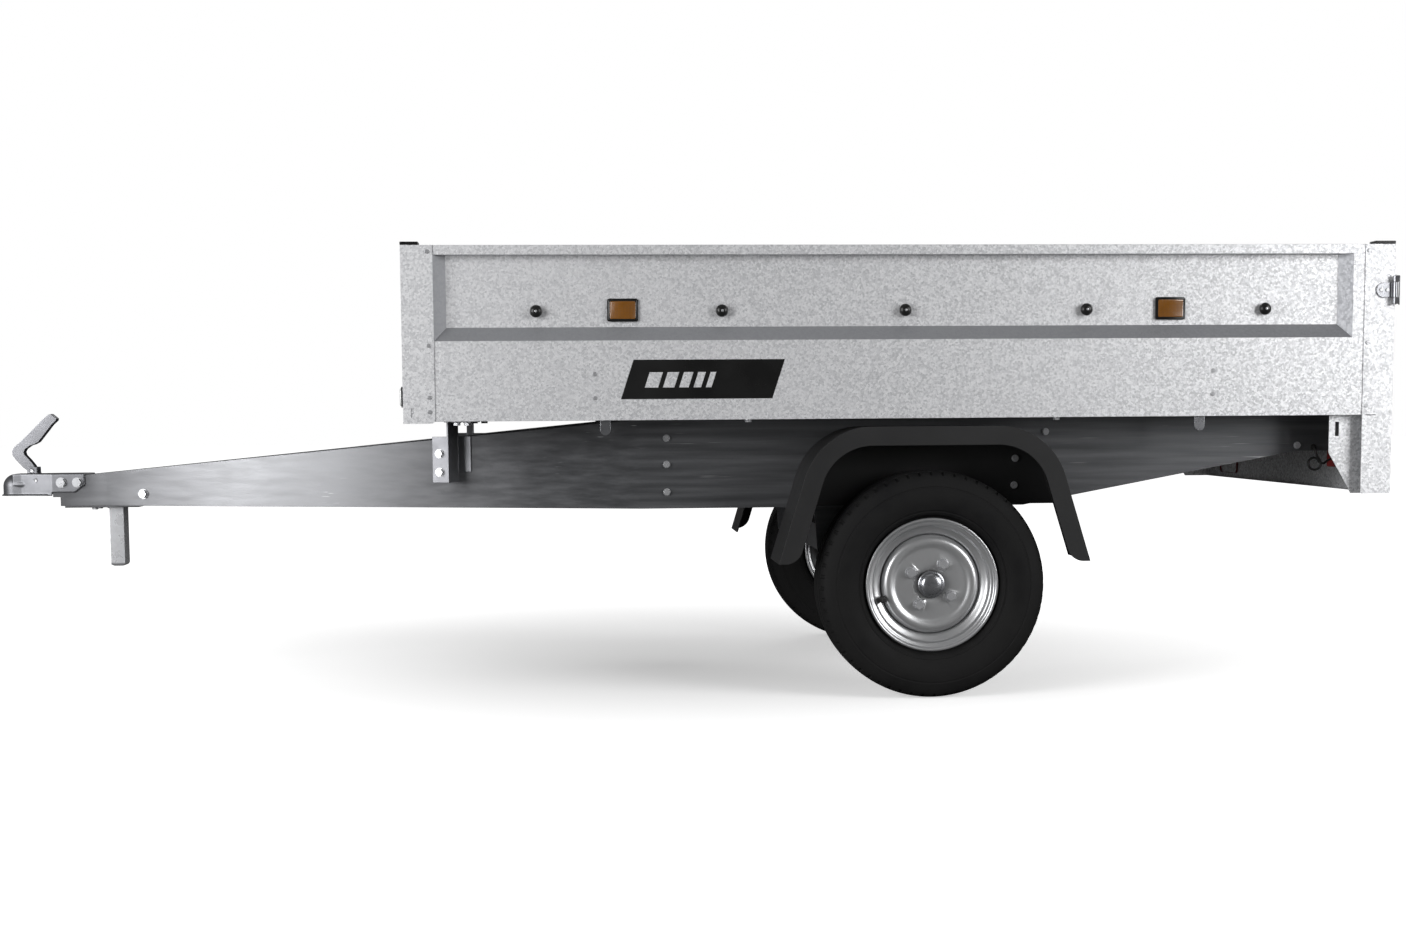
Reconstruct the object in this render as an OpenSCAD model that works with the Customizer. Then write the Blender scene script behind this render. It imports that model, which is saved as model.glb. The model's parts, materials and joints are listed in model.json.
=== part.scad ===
// Single-axle box trailer: folded galvanised box on two converging channel rails.
// X runs from the box's front face to the rear, Y to the right-hand side, Z up.
// Modules are drawn for the right-hand side and mirrored for the left-hand one.

/* [Box] */
// Length over the corner posts
box_l = 2110; // [1700:10:2600]
// Width over the corner posts
box_w = 1140; // [1000:10:1400]
// Height of the box sides
side_h = 363.5; // [300:0.5:500]
// Height of the box's bottom edge above the ground
box_z = 597; // [570:1:680]
// Thickness of the wall sheet
sheet_t = 1.2; // [0.8:0.1:3]
// Depth of the pressed pocket and of the top rail
wall_depth = 25; // [18:1:40]
// Height of the top rail
top_rail_h = 20; // [15:1:35]
// Height of the side's plain lower band
lower_band_h = 166; // [120:1:200]
// Height of the slope between the lower band and the pocket
slope_h = 29; // [15:1:45]
// Thickness of the corner posts
post_t = 2; // [1.5:0.5:4]
// Width of a corner post seen from the side
post_w = 66; // [50:1:90]
// Thickness of the floor board
floor_t = 9; // [6:1:21]
// Height of the cross members under the floor
cross_h = 25; // [20:1:40]
// Width of the cross members
cross_w = 50; // [40:1:70]

/* [Drawbar and rails] */
// Level of the rails' bottom flange
rail_z = 404; // [390:1:420]
// Thickness of the rail sheet
rail_t = 2.5; // [2:0.5:4]
// Width of the rail flanges
rail_flange = 40; // [30:1:42]
// Half distance between the rails under the box, to the outer faces
rail_y = 430; // [400:5:440]
// Half width of the drawbar's nose
nose_y = 45; // [42:1:55]
// Height of the rails' top edge at the nose
nose_top_z = 477; // [470:1:490]
// Length of the drawbar's parallel nose
nose_len = 110; // [100:5:160]
// Where the rails bend and run parallel, behind the box front
bend_x = 497; // [400:5:600]
// Where the rails' bottom edge starts to rise
rise_x = 1340; // [1200:10:1400]
// Where the rise ends, ahead of the box's rear
rise_end = 152; // [120:2:400]
// Height gained by the rise
rise_h = 114; // [60:1:150]

/* [Wheels and axle] */
// Outer radius of a tyre
tyre_r = 243; // [230:1:250]
// Section width of a tyre
tyre_w = 145; // [125:1:165]
// Radius of the rim flange
rim_flange_r = 143.5; // [140:0.5:146]
// Distance between the two tyres' middle planes
track = 1050; // [1040:5:1060]
// Wheel centre behind the box front
wheel_x = 1110; // [1000:5:1200]
// Offset of the wheel's mounting face from its middle plane
wheel_offset = 30; // [20:1:35]
// Pitch circle of the wheel bolts
bolt_pcd = 100; // [98:1:112]
// Axle tube's side length
axle_tube_w = 60; // [55:1:70]
// Axle tube's wall
axle_tube_t = 4; // [3:0.5:5]
// Height of the axle tube's centre
axle_z = 315; // [300:1:320]
// Length of a suspension arm along the trailer
arm_dx = 155; // [130:1:170]
// Upward travel of a suspension arm in degrees
arm_up = 20; // [10:1:22]

/* [Fenders] */
// Height of the fender top
fender_z = 580; // [572:1:587]
// Half length of the fender's flat top
fender_flat = 134; // [110:1:150]
// Radius of the fender shoulders
fender_r = 150; // [120:1:170]
// Height of the fender's lower ends
fender_end_z = 292; // [260:1:320]
// Lean of the fender's legs from the vertical, in degrees
fender_lean = 17; // [10:1:22]
// Height of the fender's inner wall above the rails' bottom edge
fender_wall = 3; // [3:1:100]
// Width of the outer lip
fender_lip = 40; // [30:1:42]
// Thickness of the fender moulding
fender_t = 3; // [2:0.5:4]

/* [Coupling and leg] */
// Radius of the ball socket
socket_r = 25.3; // [25.1:0.1:26]
// Wall of the pressed coupling
coupling_t = 3.7; // [3:0.1:5]
// Coupling's nose ahead of the box front
nose_reach = 994; // [900:1:1200]
// Coupling's nose ahead of the rails
coupling_out = 146; // [135:1:150]
// How far the coupling's cheeks overlap the rails
cheek_len = 58; // [54:1:70]
// Height of the coupling's lower edge
coupling_z = 428; // [420:1:432]
// Closing travel of the handle in degrees
handle_travel = 50; // [30:1:55]
// Height of the parking leg's foot above the ground
leg_foot_z = 260; // [180:1:320]
// Width of the parking leg along the trailer
leg_w = 33; // [28:1:45]

/* [Rear end] */
// Lower edge of the lamp panel and the rear posts
panel_z = 428; // [400:1:450]
// Width of a tail lamp
lamp_w = 110; // [90:1:130]
// Height of a tail lamp
lamp_h = 80; // [60:1:90]
// Depth of a tail lamp's socket ahead of the panel
lamp_d = 58; // [40:1:65]
// Width of a tail lamp's socket
socket_w = 76; // [60:1:84]
// Height of a tail lamp's socket
socket_h = 40; // [30:1:56]
// Radius of the tailgate's hinge pins
gate_pin_r = 4; // [3:0.5:5]
// Angle at which the latches stand released, in degrees
latch_rest = 25; // [25:1:40]
// Diameter of a lamp lead
lead_d = 5; // [4:0.5:6]

/* [Hidden] */
$fn = 48;

eps = 0.01;
fit = 0.05;
gap = 0.3;
reach_through = 1;

// Box
panel_y = box_w / 2 - post_t;
pocket_y = panel_y - wall_depth;
panel_x = post_t;
deck_z = box_z + sheet_t;
floor_z = deck_z + cross_h;
floor_top = floor_z + floor_t;
top_z = box_z + side_h;
gate_gap = 2;
gate_front_x = box_l - wall_depth;
inner_end_x = gate_front_x - gate_gap;
side_len = inner_end_x - panel_x;
bevel = 25;
front_len = 2 * (panel_y - sheet_t);
cross_x = [100, 720, 1380, box_l - 110];
tie_x = [bend_x + 60, box_l - 410];
tie_h = 60;
board_gap = 1.2;

// Rails
rail_start = nose_reach - coupling_out;
nose_end_x = nose_len - rail_start;
rail_end_x = box_l - 70;
rise_end_x = box_l - rise_end;
oblique_a = atan2(rail_y - nose_y, bend_x - nose_end_x);
tongue_len = 17;
tongue_z = coupling_z - 3;
function oblique_at(x) = (x - nose_end_x) / cos(oblique_a);

// Coupling
coupling_lip = 4;
ball_x = socket_r + coupling_t + coupling_lip - nose_reach;
ball_z = coupling_z + 22;
cup_r = socket_r + coupling_t;
coupling_top = nose_top_z + 2.5;
coupling_rear = cheek_len - rail_start;
coupling_bolt_x = [4 - rail_start, cheek_len - 17 - rail_start];
neck_x = ball_x + 21;
cheek_x = ball_x + 95;
coupling_bolt_z = coupling_z + 31;
m12_r = 6;
handle_x = ball_x + 42;
handle_z = coupling_top + 7;
handle_pin_r = 4;
handle_w = 24;
elbow = [-36, 43];
handle_tip = [49, 125];
handle_half = 11;
handle_sheet = 2.5;
handle_eye_r = 6.5;
ear_t = 4;
clamp_x = ball_x + 56;
clamp_z = ball_z + 14;
clamp_w = 24;
clamp_pin_r = 3;

// Wheels and suspension
wheel_z = tyre_r;
wheel_y = track / 2;
axle_x = wheel_x - arm_dx;
mount_y = wheel_y + wheel_offset;
rim_w = 50;
rim_t = 2.8;
bead_r = 127;
well_r = 106;
disc_t = 3.5;
disc_edge_r = 109;
disc_flat_r = 81;
hub_nose_r = 29;
bolt_phase = 59;
bolt_r = 6;
valve_a = 197;
arm_t = 25;
arm_in_y = 415;
arm_out_y = arm_in_y + arm_t;
tube_half = arm_in_y - 2;
bar_half = 15;
bar_len = 170;
tube_in = axle_tube_w / 2 - axle_tube_t;
// A cord sits in the tube's corner and clears the bar over the arm's whole travel.
cord_at = (tube_in + bar_half) / (cos(arm_up) + sqrt(0.5));
cord_r = tube_in - cord_at * sqrt(0.5) - gap;
seat_in_r = 17.5;
seat_out_r = 12.5;
stub_step_y = arm_out_y + 62;
stub_end_y = mount_y + 17;
bearing_w = 15;
hub_in_y = arm_out_y + 18;

// Fenders
fender_x = wheel_x + 2;
fender_out = wheel_y + tyre_w / 2 + 4.5;
fender_in = rail_y + gap;
fender_bolt_drop = 17;

// Rear end
gusset_y = box_w / 2 - wall_depth;
gate_half = gusset_y - 2;
gate_z = deck_z + 4;
gate_pin_x = box_l + 7;
gate_pin_z = gate_z + 7;
knuckle_r = 6.5;
leaf_t = 3;
gate_hinge_y = [-400, 0, 400];
hinge_len = 60;
mid_knuckle = 28;
lamp_y = 405;
lamp_z = panel_z + 59;
socket_z = lamp_z + 13;
lens_t = 7;
latch_x = box_l - 4;
latch_y = box_w / 2 + 10;
latch_z = box_z + 266;
latch_h = 60;
latch_mid = 32;
latch_t = 3;
latch_off = 6;
latch_reach = 42;
latch_pin_r = 2.5;
latch_knuckle = 5;
plate_w = 520;
plate_h = 112;
gland_x = box_l - 116;
gland_r = lead_d / 2 + 2;
gland_z = rail_z + rise_h + 8;

// The part's origin is on the ground, in the middle of its length and width.
rear_x = latch_x + (latch_off + latch_t) * cos(latch_rest) + latch_reach * sin(latch_rest);
mid_x = (rear_x - nose_reach) / 2;

module placed() { translate([-mid_x, 0, 0]) children(); }
module right() { placed() children(); }
module left() { placed() mirror([0, 1, 0]) children(); }
module both() {
    placed() {
        children();
        mirror([0, 1, 0]) children();
    }
}

// Outline in X and Z, extruded across the trailer from y0 to y1.
module across(y0, y1) {
    translate([0, y1, 0])
        rotate([90, 0, 0])
            linear_extrude(y1 - y0) children();
}
// Outline in Y and Z, extruded along the trailer from x0 to x1.
module along(x0, x1) {
    translate([x0, 0, 0])
        rotate([90, 0, 90])
            linear_extrude(x1 - x0) children();
}
// Shapes drawn about Z are turned so that their Z points outboard.
module outboard(x, y, z) {
    translate([x, y, z])
        rotate([-90, 0, 0]) children();
}
module tube(r_out, r_in, h) {
    difference() {
        cylinder(r = r_out, h = h);
        translate([0, 0, -reach_through])
            cylinder(r = r_in, h = h + 2 * reach_through);
    }
}
// Hexagon head on a washer, standing on z = 0.
module bolt_head(r = m12_r) {
    washer_h = 0.3 * r;
    cylinder(r = 2 * r, h = washer_h);
    translate([0, 0, washer_h - eps])
        cylinder(r = 1.75 * r, h = 1.1 * r, $fn = 6);
}
// A bent sheet of thickness t, on the left of the line through the points.
function unit(v) = v / norm(v);
function side_of(v) = [-v[1], v[0]];
function step_dir(p, i) = unit(p[min(i + 1, len(p) - 1)] - p[min(i, len(p) - 2)]);
function corner_shift(p, i, t) =
    let (a = side_of(step_dir(p, max(i - 1, 0))), b = side_of(step_dir(p, i)), m = unit(a + b))
    m * t / (m * a);
module bent_sheet(p, t) {
    n = len(p);
    polygon(concat(p, [for (i = [n - 1:-1:0]) p[i] + corner_shift(p, i, t)]));
}

// --- Rails and drawbar ---------------------------------------------------

// A strip between two lines drawn from front to rear.
module between(low, high) {
    polygon(concat(low, [for (i = [len(high) - 1:-1:0]) high[i]]));
}
function moved(p, d) = [for (q = p) q + d];
// The rail's plan at a given width, kept where its side view has material.
module rail_part(start, width) {
    intersection() {
        translate([0, 0, rail_z - tie_h])
            linear_extrude(2 * side_h)
                bent_sheet([[start, nose_y], [nose_end_x, nose_y], [bend_x, rail_y], [rail_end_x, rail_y]], -width);
        across(0, box_w) children();
    }
}
module rail_shape() {
    tongue_x = -rail_start - tongue_len;
    after_x = rail_end_x + reach_through;
    low = [[-rail_start, rail_z], [rise_x, rail_z], [rise_end_x, rail_z + rise_h], [after_x, rail_z + rise_h]];
    high = [[-rail_start, nose_top_z], [coupling_rear, nose_top_z], [bend_x, deck_z], [after_x, deck_z]];
    difference() {
        union() {
            rail_part(tongue_x, rail_t)
                between(concat([[tongue_x, tongue_z], [-rail_start, tongue_z]], low),
                    concat([[tongue_x, nose_top_z]], high));
            rail_part(-rail_start, rail_flange) between(low, moved(low, [0, rail_t]));
            rail_part(-rail_start, rail_flange) between(moved(high, [0, -rail_t]), high);
        }
        for (x = coupling_bolt_x)
            outboard(x, 0, coupling_bolt_z)
                cylinder(r = m12_r + gap, h = 2 * nose_y);
        outboard(gland_x, 0, gland_z)
            cylinder(r = gland_r, h = box_w);
    }
}
module rail_left() { color("lightgray") left() rail_shape(); }
module rail_right() { color("lightgray") right() rail_shape(); }

module cross_members() {
    half = panel_y - sheet_t - board_gap;
    inside = rail_y - rail_t;
    color("silver") placed() {
        for (x = cross_x)
            translate([x, half, deck_z])
                rotate([90, 0, 0])
                    linear_extrude(2 * half)
                        bent_sheet([[-cross_w / 2, 0], [-cross_w / 2 + 12, 0], [-cross_w / 2 + 12, cross_h - post_t],
                            [cross_w / 2 - 12, cross_h - post_t], [cross_w / 2 - 12, 0], [cross_w / 2, 0]], post_t);
        for (x = tie_x)
            translate([x, inside, deck_z - rail_t - gap])
                rotate([90, 0, 0])
                    linear_extrude(2 * inside)
                        bent_sheet([[rail_flange, 0], [0, 0], [0, -tie_h], [rail_flange, -tie_h]], rail_t);
    }
}
module nose_plate() {
    color("silver") placed()
        translate([-rail_start + 10, -nose_y - 2, rail_z - 4])
            cube([nose_len + 60, 2 * nose_y + 4, 4]);
}

// Folded bracket that stands off the oblique web and carries the box front.
riser_x = 92;
riser_off = 62;
riser_low = box_z - 135;
riser_high = box_z - 34;
riser_t = 4;
tab_z = deck_z - riser_t;
module riser_brackets() {
    color("gainsboro") both()
        translate([nose_end_x, nose_y, 0])
            rotate([0, 0, oblique_a])
                translate([oblique_at(riser_x), 0, 0]) {
                    translate([0, 0, riser_low + 22])
                        cube([34, riser_t, riser_high - riser_low - 22]);
                    across(0, riser_off)
                        translate([0, riser_low])
                            square([riser_t, tab_z + riser_t - riser_low]);
                    translate([-34, riser_off - riser_t, riser_low])
                        cube([34 + eps, riser_t, riser_high - riser_low]);
                    translate([-6, 0, tab_z])
                        cube([62, riser_off, riser_t]);
                }
}

module parking_leg() {
    leg_x = 122 - rail_start;
    leg_t = 3;
    leg_d = 46;
    leg_top = rail_z - 4;
    color("gainsboro") placed() {
        difference() {
            translate([leg_x - leg_w / 2, -leg_d / 2, leg_foot_z])
                cube([leg_w, leg_d, leg_top - leg_foot_z]);
            translate([leg_x - leg_w / 2 - 1, -leg_d / 2 + leg_t, leg_foot_z + leg_t])
                cube([leg_w - leg_t + 1, leg_d - 2 * leg_t, leg_top]);
        }
        translate([leg_x - leg_w / 2 - 4, -leg_d / 2, leg_top - leg_t])
            cube([leg_w + 4, leg_d, leg_t]);
    }
}

// --- Coupling ------------------------------------------------------------

// Half width inside the pressing: straight at the cup, widening to the cheeks.
function coupling_half(x) =
    let (f = min(max((x - neck_x) / (cheek_x - neck_x), 0), 1)) socket_r + f * (nose_y - socket_r);
module coupling_plan(grow) {
    half = [for (x = [ball_x, neck_x, cheek_x, coupling_rear]) [x, coupling_half(x) + grow]];
    between([for (p = half) [p[0], -p[1]]], half);
}
module coupling_housing() {
    lip_t = 3;
    side_z = coupling_z + 8;
    ear_top = handle_z + 9;
    foot = [23, 17];
    color("silver") placed() {
        difference() {
            union() {
                translate([ball_x, 0, ball_z]) sphere(r = cup_r, $fn = 64);
                translate([ball_x, 0, coupling_z])
                    cylinder(r = cup_r, h = ball_z - coupling_z, $fn = 64);
                translate([ball_x, 0, coupling_z])
                    cylinder(r = cup_r + coupling_lip, h = lip_t, $fn = 64);
                translate([0, 0, coupling_z])
                    linear_extrude(coupling_top - coupling_z) coupling_plan(coupling_t);
                translate([0, 0, coupling_z])
                    linear_extrude(lip_t)
                        intersection() {
                            coupling_plan(coupling_t + coupling_lip);
                            translate([-nose_reach, -box_w / 2])
                                square([cheek_x - 10 + nose_reach, box_w]);
                        }
            }
            // Inside of the pressing, and the flanks cut up behind the neck.
            translate([0, 0, coupling_z - reach_through])
                linear_extrude(nose_top_z + gap - coupling_z + reach_through)
                    intersection() {
                        coupling_plan(0);
                        translate([ball_x + cup_r - 1, -box_w / 2]) square([box_w, box_w]);
                    }
            // The cup is open below the housing's lower edge.
            translate([ball_x, 0, coupling_z - cup_r])
                cylinder(r = 2 * cup_r, h = cup_r);
            // Slot in the socket's rear wall, where the clamp reaches through.
            translate([ball_x, -clamp_w / 2 - gap, coupling_z - reach_through])
                cube([cup_r, clamp_w + 2 * gap, nose_top_z + gap - coupling_z + reach_through - 12]);
            translate([cheek_x, -box_w / 2, coupling_z - reach_through])
                cube([2 * cheek_len, box_w, side_z - coupling_z + reach_through]);
            // The cheeks' lower rear corners are cut off.
            across(-box_w / 2, box_w / 2)
                polygon([[coupling_rear - foot[0], side_z - eps], [coupling_rear + eps, side_z - eps],
                    [coupling_rear + eps, side_z + foot[1]]]);
            translate([ball_x, 0, ball_z]) sphere(r = socket_r, $fn = 64);
            translate([ball_x, 0, coupling_z - reach_through])
                cylinder(r = socket_r, h = ball_z - coupling_z + reach_through, $fn = 64);
            for (x = coupling_bolt_x)
                outboard(x, -box_w / 2, coupling_bolt_z)
                    cylinder(r = m12_r + gap, h = box_w);
            translate([handle_x - 24, -9, ball_z])
                cube([40, 18, 60]);
            outboard(clamp_x, -box_w / 2, clamp_z)
                cylinder(r = clamp_pin_r, h = box_w);
        }
        for (s = [-1, 1])
            difference() {
                translate([handle_x - 12, s * (handle_w / 2 + gap + ear_t / 2) - ear_t / 2, coupling_top - eps])
                    cube([24, ear_t, ear_top - coupling_top]);
                outboard(handle_x, -box_w / 2, handle_z)
                    cylinder(r = handle_pin_r, h = box_w);
            }
    }
}

// Side view of the lever: a leg up to the elbow and a grip back to the tip.
module lever_outline(p, low, high) {
    between([for (i = [0:len(p) - 1]) p[i] + corner_shift(p, i, low)],
        [for (i = [0:len(p) - 1]) p[i] + corner_shift(p, i, high)]);
}
module coupling_handle() {
    color("silver") placed()
        difference() {
            union() {
                translate([handle_x, 0, handle_z])
                    across(-handle_w / 2, handle_w / 2) {
                        lever_outline([[0, 0], elbow, handle_tip], -handle_half, handle_half);
                        circle(r = handle_eye_r);
                    }
                translate([handle_x - 5, -7, handle_z - 17])
                    cube([10, 14, 17]);
            }
            // The lever is a channel: hollow behind its front face.
            translate([handle_x, 0, handle_z])
                across(-handle_w / 2 + handle_sheet, handle_w / 2 - handle_sheet)
                    lever_outline([elbow * 0.42, elbow, handle_tip - unit(handle_tip - elbow) * handle_sheet],
                        -handle_half - reach_through, handle_half - handle_sheet);
            // Room for the housing's top under the bent leg.
            translate([handle_x - 60, -handle_w, handle_z - 60])
                cube([60 - 5, 2 * handle_w, 60 - 7 + gap]);
            translate([handle_x + 5, -handle_w, handle_z - 60])
                cube([60, 2 * handle_w, 60 - 7 + gap]);
            outboard(handle_x, -box_w / 2, handle_z)
                cylinder(r = handle_pin_r + fit, h = box_w);
        }
}
module coupling_pins() {
    handle_pin_half = handle_w / 2 + ear_t + gap + 2;
    clamp_pin_half = coupling_half(clamp_x) + coupling_t;
    color("dimgray") placed() {
        outboard(handle_x, -handle_pin_half, handle_z)
            cylinder(r = handle_pin_r, h = 2 * handle_pin_half);
        outboard(clamp_x, -clamp_pin_half, clamp_z)
            cylinder(r = clamp_pin_r, h = 2 * clamp_pin_half);
    }
}
module ball_clamp() {
    color("gray") placed()
        difference() {
            union() {
                outboard(clamp_x, -clamp_w / 2, clamp_z) cylinder(r = 8, h = clamp_w);
                across(-clamp_w / 2, clamp_w / 2)
                    polygon([[clamp_x - 7, clamp_z + 5], [clamp_x + 7, clamp_z - 3], [clamp_x - 10, coupling_z + 4],
                        [ball_x + 24, coupling_z + 4], [ball_x + 24, coupling_z + 9]]);
            }
            translate([ball_x, 0, coupling_z - reach_through])
                cylinder(r = socket_r + 3.2, h = ball_z - coupling_z + reach_through, $fn = 64);
            translate([ball_x, 0, ball_z]) sphere(r = socket_r + 3.2, $fn = 64);
            outboard(clamp_x, -clamp_w, clamp_z)
                cylinder(r = clamp_pin_r + fit, h = 2 * clamp_w);
        }
}
module clamp_spring() {
    color("dimgray") placed()
        across(-6, 6)
            bent_sheet([[ball_x + 93, nose_top_z + gap - 1.2], [ball_x + 71, nose_top_z + gap - 1.2],
                [ball_x + 68, coupling_z + 34], [ball_x + 72, coupling_z + 22]], 1);
}

// --- Axle and suspension ---------------------------------------------------

module axle_tube() {
    plate_y = rail_y - 32;
    color("silver") placed()
        difference() {
            union() {
                translate([axle_x - axle_tube_w / 2, -tube_half, axle_z - axle_tube_w / 2])
                    cube([axle_tube_w, 2 * tube_half, axle_tube_w]);
                for (s = [-1, 1]) {
                    translate([axle_x - 75, s * plate_y - 20, rail_z - 6])
                        cube([150, 40, 6]);
                    across(s * plate_y - 3, s * plate_y + 3)
                        polygon([[axle_x - 75, rail_z - 5], [axle_x - 68, axle_z - 12], [axle_x - 30, axle_z - 28],
                            [axle_x + 30, axle_z - 28], [axle_x + 55, axle_z + 30], [axle_x + 75, rail_z - 5]]);
                }
            }
            translate([axle_x - tube_in, -tube_half - reach_through, axle_z - tube_in])
                cube([2 * tube_in, 2 * (tube_half + reach_through), 2 * tube_in]);
        }
}
module rubber_cords() {
    color("black") both()
        for (sx = [-1, 1], sz = [-1, 1])
            outboard(axle_x + sx * cord_at * sqrt(0.5), tube_half - 150, axle_z + sz * cord_at * sqrt(0.5))
                cylinder(r = cord_r, h = 140);
}
module arm_shape() {
    eye_r = 34;
    end_r = 27;
    a = atan2(wheel_z - axle_z, arm_dx);
    n = [sin(a), -cos(a)];
    across(arm_in_y, arm_out_y) {
        translate([axle_x, axle_z]) circle(r = eye_r);
        translate([wheel_x, wheel_z]) circle(r = end_r);
        polygon([[axle_x, axle_z] + n * eye_r * 0.9, [wheel_x, wheel_z] + n * end_r * 0.9,
            [wheel_x, wheel_z] - n * end_r * 0.9, [axle_x, axle_z] - n * eye_r * 0.9]);
    }
    outboard(axle_x, arm_in_y - bar_len, axle_z)
        rotate(45)
            translate([-bar_half, -bar_half, 0])
                cube([2 * bar_half, 2 * bar_half, bar_len + eps]);
}
module arm_left() { color("darkgray") left() arm_shape(); }
module arm_right() { color("darkgray") right() arm_shape(); }

module stub_axle_shape() {
    nut_y = stub_end_y - 13;
    outboard(wheel_x, 0, wheel_z) {
        translate([0, 0, arm_out_y]) cylinder(r = seat_in_r, h = stub_step_y - arm_out_y);
        translate([0, 0, arm_out_y]) cylinder(r = seat_in_r + 6, h = 14);
        translate([0, 0, stub_step_y - eps]) cylinder(r = seat_out_r, h = nut_y - stub_step_y);
        translate([0, 0, nut_y - 0.5]) cylinder(r = 9.5, h = stub_end_y - nut_y);
    }
    difference() {
        outboard(wheel_x, nut_y - 1, wheel_z) cylinder(r = 17, h = 11, $fn = 6);
        outboard(wheel_x, nut_y - 2, wheel_z) cylinder(r = 9.5, h = 20);
    }
}
module stub_axle_left() { color("gray") left() stub_axle_shape(); }
module stub_axle_right() { color("gray") right() stub_axle_shape(); }

hub_r = 38;
race_in_r = 31;
race_out_r = 26;
in_race_y = hub_in_y + 6;
out_race_y = mount_y - 8;
flange_r = 65;
flange_t = 9;
module hub_shape() {
    wheel_hub_end = mount_y + 10;
    difference() {
        outboard(wheel_x, 0, wheel_z) {
            translate([0, 0, hub_in_y]) cylinder(r = hub_r, h = mount_y - hub_in_y);
            translate([0, 0, mount_y - flange_t]) cylinder(r = flange_r, h = flange_t, $fn = 64);
            translate([0, 0, mount_y - eps]) cylinder(r = hub_nose_r + 0.2, h = wheel_hub_end - mount_y);
        }
        outboard(wheel_x, 0, wheel_z) {
            translate([0, 0, hub_in_y - 1]) cylinder(r = race_in_r, h = in_race_y + bearing_w - hub_in_y + 1);
            translate([0, 0, hub_in_y]) cylinder(r = 22, h = wheel_hub_end);
            translate([0, 0, out_race_y - bearing_w]) cylinder(r = race_out_r, h = 60);
        }
        for (i = [0:3])
            outboard(wheel_x, mount_y - 20, wheel_z)
                rotate(i * 90 - bolt_phase)
                    translate([bolt_pcd / 2, 0, 0])
                        cylinder(r = bolt_r + fit, h = 40);
    }
}
module hub_left() { color("dimgray") left() hub_shape(); }
module hub_right() { color("dimgray") right() hub_shape(); }

module bearings_shape() {
    outboard(wheel_x, in_race_y, wheel_z) tube(race_in_r, seat_in_r + fit, bearing_w);
    outboard(wheel_x, out_race_y - bearing_w, wheel_z) tube(race_out_r, seat_out_r + fit, bearing_w);
}
module bearings_left() { color("lightsteelblue") left() bearings_shape(); }
module bearings_right() { color("lightsteelblue") right() bearings_shape(); }

module dust_cap_shape() {
    outboard(wheel_x, mount_y + 10, wheel_z)
        rotate_extrude($fn = 64)
            difference() {
                polygon([[0, 0], [hub_nose_r, 0], [hub_nose_r, 9], [hub_nose_r - 3, 13], [0, 14]]);
                translate([-1, -1]) square([hub_nose_r - 2 + 1, 11]);
            }
}
module dust_cap_left() { color("silver") left() dust_cap_shape(); }
module dust_cap_right() { color("silver") right() dust_cap_shape(); }

module rim_shape() {
    well = [[rim_flange_r - 2, rim_w], [rim_flange_r - 4, rim_w - 5], [bead_r, rim_w - 7], [bead_r, 30],
        [well_r + 3, 22], [well_r + 3, -6], [bead_r, -20], [bead_r, 7 - rim_w],
        [rim_flange_r - 4, 5 - rim_w], [rim_flange_r - 2, -rim_w]];
    face = wheel_offset;
    dish = [[hub_nose_r + 0.5, face], [disc_flat_r, face], [disc_flat_r + 8, face + 5],
        [well_r - 6, face + 2], [well_r, face - 12], [well_r, face - 20]];
    outboard(wheel_x, wheel_y, wheel_z) {
        rotate_extrude($fn = 96) bent_sheet(well, rim_t);
        difference() {
            rotate_extrude($fn = 96) bent_sheet(dish, disc_t);
            for (i = [0:3])
                rotate(i * 90 - bolt_phase)
                    translate([bolt_pcd / 2, 0, 0])
                        cylinder(r = bolt_r + 0.5, h = 80);
        }
    }
}
module rim_left() { color("silver") left() rim_shape(); }
module rim_right() { color("silver") right() rim_shape(); }

module tyre_shape() {
    half = tyre_w / 2;
    tread = half - 17;
    bulge_r = (bead_r + tyre_r) / 2 + 4;
    seat = bead_r + rim_t + gap;
    outer = [[seat, 32], [seat, 39], [rim_flange_r - 3, 39], [rim_flange_r + 3, 43],
        [rim_flange_r + 5, 54], [bulge_r - 20, half - 3], [bulge_r, half],
        [(bulge_r + tyre_r) / 2 - 1, half - 4], [tyre_r - 12, tread + 6], [tyre_r - 3, tread - 3], [tyre_r, tread - 16]];
    wall = 9;
    inner = [[tyre_r - 15, tread - 18], [tyre_r - 22, tread - 4], [bulge_r, half - wall],
        [(bulge_r + rim_flange_r) / 2 - 6, half - wall - 3], [rim_flange_r + 6, 36], [rim_flange_r - 4, 30]];
    rim_side = concat(outer, [for (i = [len(outer) - 1:-1:0]) [outer[i][0], -outer[i][1]]]);
    air_side = concat([for (i = [len(inner) - 1:-1:0]) [inner[i][0], -inner[i][1]]], inner);
    outboard(wheel_x, wheel_y, wheel_z)
        rotate_extrude($fn = 96)
            polygon(concat(rim_side, air_side));
}
module tyre_left() { color("#262626") left() tyre_shape(); }
module tyre_right() { color("#262626") right() tyre_shape(); }

module valve_shape() {
    outboard(wheel_x, wheel_y + 34, wheel_z)
        rotate(-valve_a)
            translate([well_r + 11, 0, 0])
                rotate([0, -38, 0])
                    cylinder(r = 4, h = 30);
}
module valve_left() { color("black") left() valve_shape(); }
module valve_right() { color("black") right() valve_shape(); }

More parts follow.
